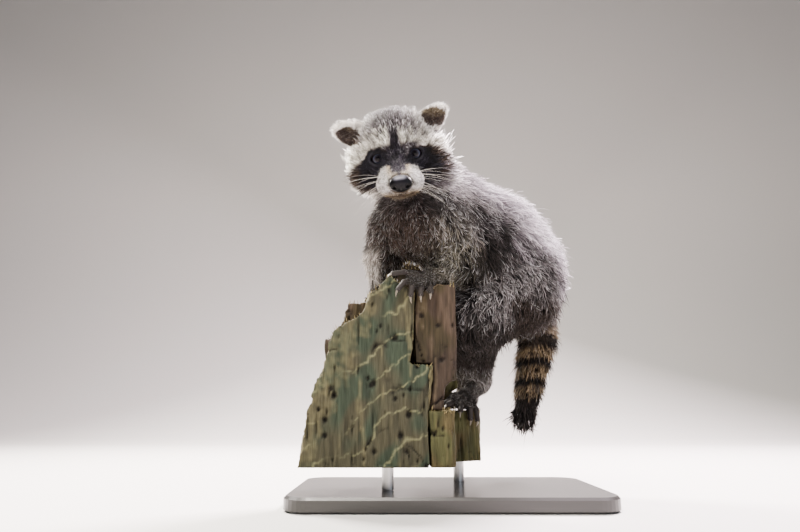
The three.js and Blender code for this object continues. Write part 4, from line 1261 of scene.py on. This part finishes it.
def strands(name, paths, girths, sides, material):
    """One mesh of tapered strands. Paths are rows of points in mm, girths their radii in mm."""
    count, steps = paths.shape[:2]
    mesh = bpy.data.meshes.new(name)
    mesh.vertices.add(count * steps)
    set_points(mesh, paths)
    start = np.arange(count * steps).reshape(count, steps)
    edges = np.stack([start[:, :-1], start[:, 1:]], -1).reshape(-1, 2)
    mesh.edges.add(len(edges))
    mesh.edges.foreach_set("vertices", edges.astype(np.int32).ravel())
    girth = mesh.attributes.new("girth", "FLOAT", "POINT")
    girth.data.foreach_set("value", (girths * MM).astype(np.float32).ravel())
    obj = placed(name, mesh)
    tree = strand_tree(name + " strands")
    modifier = obj.modifiers.new("Strands", "NODES")
    modifier.node_group = tree
    sockets = {s.name: s.identifier for s in tree.interface.items_tree if s.in_out == "INPUT"}
    modifier[sockets["Sides"]] = sides
    modifier[sockets["Finish"]] = material
    merged(applied(obj), 1e-7, outward=True)
    return obj


def claws(material):
    """A curved claw on every digit, its base sunk in the pad."""
    paths, girths = [], []
    t = np.linspace(0, 1, 9)
    for _, palm, digits, _ in PAWS:
        for digit in digits:
            pad = digit_points(palm, digit)[-1]
            start = bone_way(digit.aim, digit.rise[1])
            end = bone_way(digit.aim, digit.rise[1] - CLAW_DROP)
            path = [pad + start * 0.6]
            for step in t[1:]:
                way = unit(start * (1 - step) + end * step)
                path.append(path[-1] + way * CLAW_LENGTH / (len(t) - 1))
            paths.append(path)
            girths.append(CLAW_ROOT * (1 - t) ** 0.75 + 0.06)
    return strands("claws", np.array(paths), np.array(girths), 10, material)


def whiskers(length, material):
    """Long stiff hairs in rows on each whisker pad, with a few over the eyes and on the chin."""
    rng = np.random.default_rng(SEED + 1)
    paths, girths = [], []
    t = np.linspace(0, 1, 14)

    def grow(root, way, reach, thick, droop):
        """Adds one whisker."""
        way = unit(way + 0.13 * rng.normal(size=3))
        bend = -UP * droop + 0.12 * rng.normal(size=3)
        paths.append(root + way * (reach * t)[:, None] + bend * (reach * t ** 2)[:, None] * 0.5)
        girths.append(thick * (1 - t) ** 0.8 + 0.025)

    for side in SIDES:
        for row, place in np.ndindex(4, 4):
            up = -17.5 - 3.4 * row + 0.8 * place
            root = head_point(side * (10.5 + 1.5 * place), 28 - 5.2 * place, up)
            away, out = slope(body_distance, root[None])
            root = root - out[0] * (away[0] + 0.5)
            way = head_way(side, 0.10 - 0.16 * place, 0.14 - 0.20 * row)
            grow(root, way, length * rng.uniform(0.6, 1.0) * (0.7 + 0.11 * place), 0.042, 0.5)
        for i in range(4):
            root = head_point(side * (15 + 2 * i), 6, 11 + 0.8 * i)
            grow(root, head_way(side * 0.5, 0.5, 1), length * 0.3, 0.06, 0.1)
    return strands("whiskers", np.array(paths), np.array(girths), 5, material)


# ---- the stump

WORM_HOLES, HOLE_DEPTH = 46, 2.6
CHECK_DEPTH, CROSS_DEPTH = 3.2, 1.3     # mm, of the cracks along the grain and across it
EDGE_SPLINTERS, SPIKE_SPLINTERS = 260, 110
SPLINTER_SUNK = 2.0                 # mm of a splinter that are under the wood
SPIKE_FOOT = 190                    # the height at which the heartwood's thin spike starts
RIDGE_PITCH = 23                    # mm between the pale ridges that cross the slab


def remeshed(node, name, voxel, material):
    """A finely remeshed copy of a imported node, merged first because its triangles are loose."""
    obj = placed(name, frame["nodes"][node].data.copy())
    obj.data.name = name
    merged(obj.data, 1e-6)
    modifier = obj.modifiers.new("Voxels", "REMESH")
    modifier.mode = "VOXEL"
    modifier.voxel_size = voxel * MM
    mesh = applied(obj)
    mesh.materials.clear()
    mesh.materials.append(material)
    mesh.polygons.foreach_set("use_smooth", np.ones(len(mesh.polygons), bool))
    return obj


def mesh_arrays(mesh):
    """A mesh's points in mm and its vertex normals."""
    points, normals = np.empty((2, len(mesh.vertices) * 3))
    mesh.vertices.foreach_get("co", points)
    mesh.vertex_normals.foreach_get("vector", normals)
    return points.reshape(-1, 3) / MM, normals.reshape(-1, 3)


def fibre(p, size, seed, long=9.0, octaves=2):
    """Noise that runs along the upright grain, long times its width."""
    return waves(p / (1, 1, long), size, seed, octaves)


WOODS = {
    # Weathered face, broken edge, near-black painted shade for deep cracks and worm holes, and how green
    # the algae are.
    "slab": ("#343224", "#60593d", "#100e09", "#283024"),
    "heart": ("#3a2f25", "#564a38", "#0e0906", "#30291a"),
    "ledge": ("#423a23", "#5f5435", "#150f09", "#383820"),
}


def carve_wood(obj, wood, seed):
    """Grain ridges, checks, worm holes and broken ends, with the colours that go with them and painted
    shade in the checks and holes.
    """
    rng = np.random.default_rng(seed)
    p, normal = mesh_arrays(obj.data)
    ridges = fibre(p, 5, seed) * 0.55 + fibre(p, 2.6, seed + 1, 12) * 0.35
    swell = waves(p / (1, 1, 2.5), 30, seed + 2, 1)
    checks = np.exp(-(fibre(p, 17, seed + 3, 7, 1) / 0.10) ** 2)
    checks *= ramp(waves(p, 40, seed + 4, 1), -0.4, 0.5)
    cross = np.exp(-(waves(p * (0.35, 0.35, 1), 16, seed + 5, 1) / 0.09) ** 2)
    cross *= ramp(waves(p, 30, seed + 6, 1), 0.1, 0.8)
    end = ramp(normal[:, 2], 0.35, 0.8)
    upright = 1 - ramp(np.abs(normal[:, 2]), 0.5, 0.9)
    floor = ramp(-normal[:, 2], 0.5, 0.9)
    ragged = np.abs(fibre(p, 3.6, seed + 7, 30)) * 1.9 + np.abs(waves(p, 9, seed + 8, 1)) * 1.3
    ragged = ragged * ramp(body_distance(p), 1.5, 9)
    depth = upright * (0.55 * swell + ridges * 0.8 - CHECK_DEPTH * checks - CROSS_DEPTH * cross - 0.5)
    depth = depth - end * ragged
    low, high = p.min(0), p.max(0)
    holes = np.zeros(len(p))
    for _ in range(WORM_HOLES):
        centre = p[rng.integers(len(p))]
        size = rng.uniform(0.9, 2.1)
        away = lengths((p - centre) / (1, 1, 1.4))
        holes = np.maximum(holes, ramp(away, size * 1.5, size * 0.6))
    depth = (depth - HOLE_DEPTH * holes) * (1 - floor)
    set_points(obj.data, np.clip(p + normal * depth[:, None], low - 0.9, high + 0.4))
    obj.data.update()
    face, edge, crack, algae = (linear(c) for c in WOODS[wood])
    colours = np.tile(face, (len(p), 1))
    colours = mix(colours, ramp(waves(p / (1, 1, 2), 26, seed + 9), -0.6, 0.9), algae)
    colours = colours * (1 + 0.28 * np.clip(ridges, -1.2, 1.2))[:, None]
    # The heartwood is painted darker towards the bottom.
    if wood == "heart":
        colours = colours * (0.62 + 0.38 * ramp(p[:, 2], 112, 150))[:, None]
    worn = np.maximum(end, ramp(swell + ridges, 1.5, 2.4) * 0.4)
    if wood == "slab":
        left = ramp(p[:, 0] - (low[0] + (p[:, 2] - low[2]) * 0.42) + 4 * waves(p, 14, 91), 9, 2)
        worn = np.maximum(worn, ramp(np.abs(normal[:, 1]), 0.75, 0.4))
        worn = np.maximum(worn, left * 0.35)
        climb = p[:, 2] - 0.62 * p[:, 0] + 5 * waves(p, 60, seed + 10, 1) + 1.1 * waves(p, 11, seed + 13, 2)
        turns = climb / RIDGE_PITCH
        line = np.exp(-((turns - np.round(turns)) * RIDGE_PITCH / 0.75) ** 2)
        line = line * ramp(waves(p, 60, seed + 12, 1), -1.1, 0.1)
        colours = mix(colours, 0.42 * line * upright, linear("#8a8862"))
    colours = mix(colours, np.clip(worn * (0.75 + 0.3 * waves(p, 7, seed + 11)), 0, 1), edge)
    # Painted shade in the checks, cross cracks and worm holes.
    dark = np.clip(np.maximum(np.maximum(checks, cross * 0.8) * upright, holes), 0, 1)
    colours = mix(colours, dark * 0.92, crack)
    set_colours(obj, "Wood", colours)
    return obj


def splinters(material):
    """Loose fibres that stand up along the stump's broken edges."""
    rng = np.random.default_rng(SEED + 2)
    paths, girths = [], []
    t = np.linspace(0, 1, 5)
    for name in ("stump_slab", "stump_heartwood", "stump_ledge"):
        p, normal = mesh_arrays(bpy.data.objects[name].data)
        edge = (normal[:, 2] > 0.25) & (normal[:, 2] < 0.8) & (p[:, 2] > 60)
        clear = body_distance(p)
        chosen = rng.permutation(np.flatnonzero(edge & (clear > 7)))[:EDGE_SPLINTERS]
        spike = (normal[:, 2] > 0.3) & (p[:, 2] > SPIKE_FOOT) & (clear > 3)
        for i in [*chosen, *rng.permutation(np.flatnonzero(spike))[:SPIKE_SPLINTERS]]:
            above = np.abs(p - p[i] - (0, 0, 7)) < (2.5, 6, 4)
            if above.all(1).any():
                continue
            way = unit(UP + 0.5 * normal[i] + 0.18 * rng.normal(size=3))
            reach = rng.uniform(1.5, 5.0)
            start = p[i] - way * SPLINTER_SUNK
            bend = normal[i] * (t ** 2)[:, None] * 0.5
            paths.append(start + way * ((reach + SPLINTER_SUNK) * t)[:, None] + bend)
            girths.append(rng.uniform(0.25, 0.6) * (1 - t) ** 0.7 + 0.05)
    obj = strands("splinters", np.array(paths), np.array(girths), 4, material)
    points, _ = mesh_arrays(obj.data)
    tone = ramp(waves(points, 8, 77), -1, 1)
    set_colours(obj, "Wood", mix(np.tile(linear("#8c7d58"), (len(points), 1)), tone, linear("#5f5437")))
    return obj


# ---- camera, light and floor

CAMERA_PLACE = (-40, -565, 76)      # mm
CAMERA_PITCH = 13                   # degrees above level
CAMERA_LENS = 28                    # mm, on a 36 mm wide sensor
SWEEP = 900


def aimed(obj, target):
    """Turns a lamp's object to face a place in mm."""
    way = unit(np.asarray(target) - np.array(obj.location) / MM)
    flat = math.hypot(way[0], way[1])
    obj.rotation_euler = (math.atan2(flat, -way[2]), 0, -math.atan2(way[0], way[1]))


def soft_light(name, place, size, power, colour):
    lamp = bpy.data.lights.new(name, "AREA")
    lamp.size = size * MM
    lamp.energy = power
    lamp.color = linear(colour)
    obj = placed(name, lamp)
    obj.location = np.array(place) * MM
    obj.visible_camera = False
    aimed(obj, (0, 0, 190))


def studio(tint):
    """A plain pale floor that sweeps up behind, soft lamps, pale air and the camera."""
    profile = [(-2500, 0), (SWEEP, 0)]
    for i in range(1, 13):
        a = math.radians(90 * i / 12)
        profile.append((SWEEP + SWEEP * math.sin(a), SWEEP - SWEEP * math.cos(a)))
    profile.append((2 * SWEEP, 3200))
    points = np.array([(x, y, z) for y, z in profile for x in (-3500, 3500)])
    faces = np.array([(2 * i, 2 * i + 1, 2 * i + 3, 2 * i + 2) for i in range(len(profile) - 1)])
    new_mesh("studio_floor", points, faces, finish("Pale floor", tint))
    for lamp in (("key", (-240, -460, 1120), 420, 40, "#fff6ec"),
                 ("fill", (650, -650, 420), 700, 5, "#eaf0ff"),
                 ("catch", (-330, -760, 640), 130, 3, "#f4f8ff"),
                 ("rim_right", (520, 480, 1000), 320, 165, "#fff0f6"),
                 ("rim_left", (-560, 460, 860), 300, 80, "#fff8f0")):
        soft_light(*lamp)
    world = bpy.data.worlds.new("Studio air")
    bpy.context.scene.world = world
    world.use_nodes = True
    air = world.node_tree.nodes["Background"].inputs
    air["Color"].default_value = (0.86, 0.88, 0.92, 1)
    air["Strength"].default_value = 0.25
    lens = bpy.data.cameras.new("camera")
    lens.lens = CAMERA_LENS
    lens.sensor_width = 36
    lens.clip_start = 0.01
    camera = placed("camera", lens)
    camera.location = np.array(CAMERA_PLACE) * MM
    camera.rotation_euler = (math.radians(90 + CAMERA_PITCH), 0, 0)
    bpy.context.scene.camera = camera


# ---- the add-on's settings


class RaccoonSettings(bpy.types.PropertyGroup):
    """Sizes and colours that a user would change."""

    skin_cell: bpy.props.FloatProperty(
        name="Skin cell", description="Grid size of the skin in mm", default=1.45, min=0.8)
    face_cell: bpy.props.FloatProperty(
        name="Face cell", description="Grid size of the skin on the face in mm", default=0.8, min=0.4)
    locks: bpy.props.IntProperty(
        name="Locks", description="How many locks of hair the coat has", default=118000, min=1000)
    lock_width: bpy.props.FloatProperty(
        name="Lock width", description="Width of a long lock in mm", default=1.0, min=0.1)
    whisker_length: bpy.props.FloatProperty(
        name="Whisker length", description="The longest whisker in mm", default=46, min=5)
    wood_voxel: bpy.props.FloatProperty(
        name="Wood voxel", description="Grid size of the stump's surface in mm", default=1.35, min=0.6)
    lacquer: bpy.props.FloatVectorProperty(
        name="Lacquer", description="Colour of the stand's base", subtype="COLOR",
        default=tuple(linear(FINISHES["Satin lacquer"].colour)), min=0, max=1)
    floor: bpy.props.FloatVectorProperty(
        name="Floor", description="Colour of the studio floor", subtype="COLOR",
        default=tuple(linear(FINISHES["Pale floor"].colour)), min=0, max=1)


SKIN = {}                           # the skin's points and quads, for the coat to grow on


def hand_over(obj, slot, *nodes):
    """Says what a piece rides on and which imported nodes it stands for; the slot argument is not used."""
    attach(obj, "root")
    if nodes:
        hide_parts(*nodes)


class RACCOON_OT_skin(bpy.types.Operator):
    """Make the one skin that stands for all the flesh"""

    bl_idname = "raccoon.skin"
    bl_label = "Skin"

    def execute(self, context):
        settings = context.scene.raccoon
        points, quads = skin_mesh(settings.skin_cell, settings.face_cell)
        skin = new_mesh("skin", points, quads, finish("Kit skin"))
        root, tip = markings(points, False)
        pale = 0.45 * ramp(lengths(points - NOSE_CENTRE), 60, 40)
        set_colours(skin, "Hair", root + pale[:, None] * (tip - root))
        hand_over(skin, "coat_back", *FLESH)
        SKIN.update(points=points, quads=quads)
        return {"FINISHED"}


class RACCOON_OT_coat(bpy.types.Operator):
    """Grow the coat's locks over the skin"""

    bl_idname = "raccoon.coat"
    bl_label = "Coat"

    def execute(self, context):
        settings = context.scene.raccoon
        slots = {"head": "coat_face", "ear": "coat_ear", "neck": "coat_back", "trunk": "coat_back",
                 "tail": "coat_tail", "foreleg": "coat_limb", "hindleg": "coat_limb"}
        for piece in grow_coat(**SKIN, locks=settings.locks, width=settings.lock_width,
                               material=finish("Kit hair")):
            hand_over(piece, slots[piece.name.split("_")[1]])
        return {"FINISHED"}


class RACCOON_OT_eyes(bpy.types.Operator):
    """Make the eyeballs and the rims of their lids"""

    bl_idname = "raccoon.eyes"
    bl_label = "Eyes"

    def execute(self, context):
        wet, skin = finish("Wet eye"), bpy.data.materials["Kit skin"]
        for side, name in SIDES.items():
            hand_over(eyeball(side, wet), "eye", "eye_" + name)
            hand_over(eyelid(side, skin), "coat_face")
        return {"FINISHED"}


class RACCOON_OT_nose(bpy.types.Operator):
    """Make the nose pad with its nostrils"""

    bl_idname = "raccoon.nose"
    bl_label = "Nose"

    def execute(self, context):
        hand_over(nose_pad(finish("Nose leather")), "nose", "nose")
        return {"FINISHED"}


class RACCOON_OT_claws(bpy.types.Operator):
    """Make the claws"""

    bl_idname = "raccoon.claws"
    bl_label = "Claws"

    def execute(self, context):
        hand_over(claws(finish("Claw horn")), "paw")
        return {"FINISHED"}


class RACCOON_OT_whiskers(bpy.types.Operator):
    """Make the whiskers"""

    bl_idname = "raccoon.whiskers"
    bl_label = "Whiskers"

    def execute(self, context):
        hand_over(whiskers(context.scene.raccoon.whisker_length, finish("Whisker")), "coat_pale")
        return {"FINISHED"}


class RACCOON_OT_stump(bpy.types.Operator):
    """Carve the stump's slab, heartwood and ledge, and stand splinters on them"""

    bl_idname = "raccoon.stump"
    bl_label = "Stump"

    def execute(self, context):
        voxel = context.scene.raccoon.wood_voxel
        wood = finish("Weathered wood")
        for node, name, kind, slot, seed in (
                ("perch_slab", "stump_slab", "slab", "weathered_wood", 101),
                ("perch_heartwood", "stump_heartwood", "heart", "heartwood", 202),
                ("perch_ledge", "stump_ledge", "ledge", "mossy_wood", 303)):
            hand_over(carve_wood(remeshed(node, name, voxel, wood), kind, seed), slot, node)
        hand_over(splinters(wood), "mossy_wood")
        return {"FINISHED"}


class RACCOON_OT_stand(bpy.types.Operator):
    """Finish the display stand's base and rods"""

    bl_idname = "raccoon.stand"
    bl_label = "Stand"

    def execute(self, context):
        lacquer, steel = finish("Satin lacquer", context.scene.raccoon.lacquer), finish("Satin steel")
        for node, material in (("stand_base", lacquer), ("stand_rod_1", steel), ("stand_rod_2", steel)):
            mesh = frame["nodes"][node].data
            if not mesh.materials:
                mesh.materials.append(material)
            for slot in frame["nodes"][node].material_slots:
                slot.material = material
        return {"FINISHED"}


class RACCOON_OT_stage(bpy.types.Operator):
    """Set out the floor, the lamps and the camera"""

    bl_idname = "raccoon.stage"
    bl_label = "Stage"

    def execute(self, context):
        studio(context.scene.raccoon.floor)
        return {"FINISHED"}


class RACCOON_PT_panel(bpy.types.Panel):
    """The settings, and a button for each piece"""

    bl_idname = "RACCOON_PT_panel"
    bl_label = "Raccoon Kit"
    bl_space_type = "VIEW_3D"
    bl_region_type = "UI"
    bl_category = "Raccoon"

    def draw(self, context):
        for name in RaccoonSettings.__annotations__:
            self.layout.prop(context.scene.raccoon, name)
        for operator in OPERATORS:
            self.layout.operator(operator.bl_idname)


OPERATORS = (RACCOON_OT_stage, RACCOON_OT_skin, RACCOON_OT_coat, RACCOON_OT_eyes, RACCOON_OT_nose,
             RACCOON_OT_claws, RACCOON_OT_whiskers, RACCOON_OT_stump, RACCOON_OT_stand)
CLASSES = (RaccoonSettings, *OPERATORS, RACCOON_PT_panel)


def register():
    for cls in CLASSES:
        bpy.utils.register_class(cls)
    bpy.types.Scene.raccoon = bpy.props.PointerProperty(type=RaccoonSettings)


def unregister():
    del bpy.types.Scene.raccoon
    for cls in reversed(CLASSES):
        bpy.utils.unregister_class(cls)


def main():
    """Makes every piece in turn."""
    register()
    bpy.ops.raccoon.stage()
    bpy.ops.raccoon.skin()
    bpy.ops.raccoon.coat()
    bpy.ops.raccoon.eyes()
    bpy.ops.raccoon.nose()
    bpy.ops.raccoon.claws()
    bpy.ops.raccoon.whiskers()
    bpy.ops.raccoon.stump()
    bpy.ops.raccoon.stand()


if __name__ == "__main__":
    main()
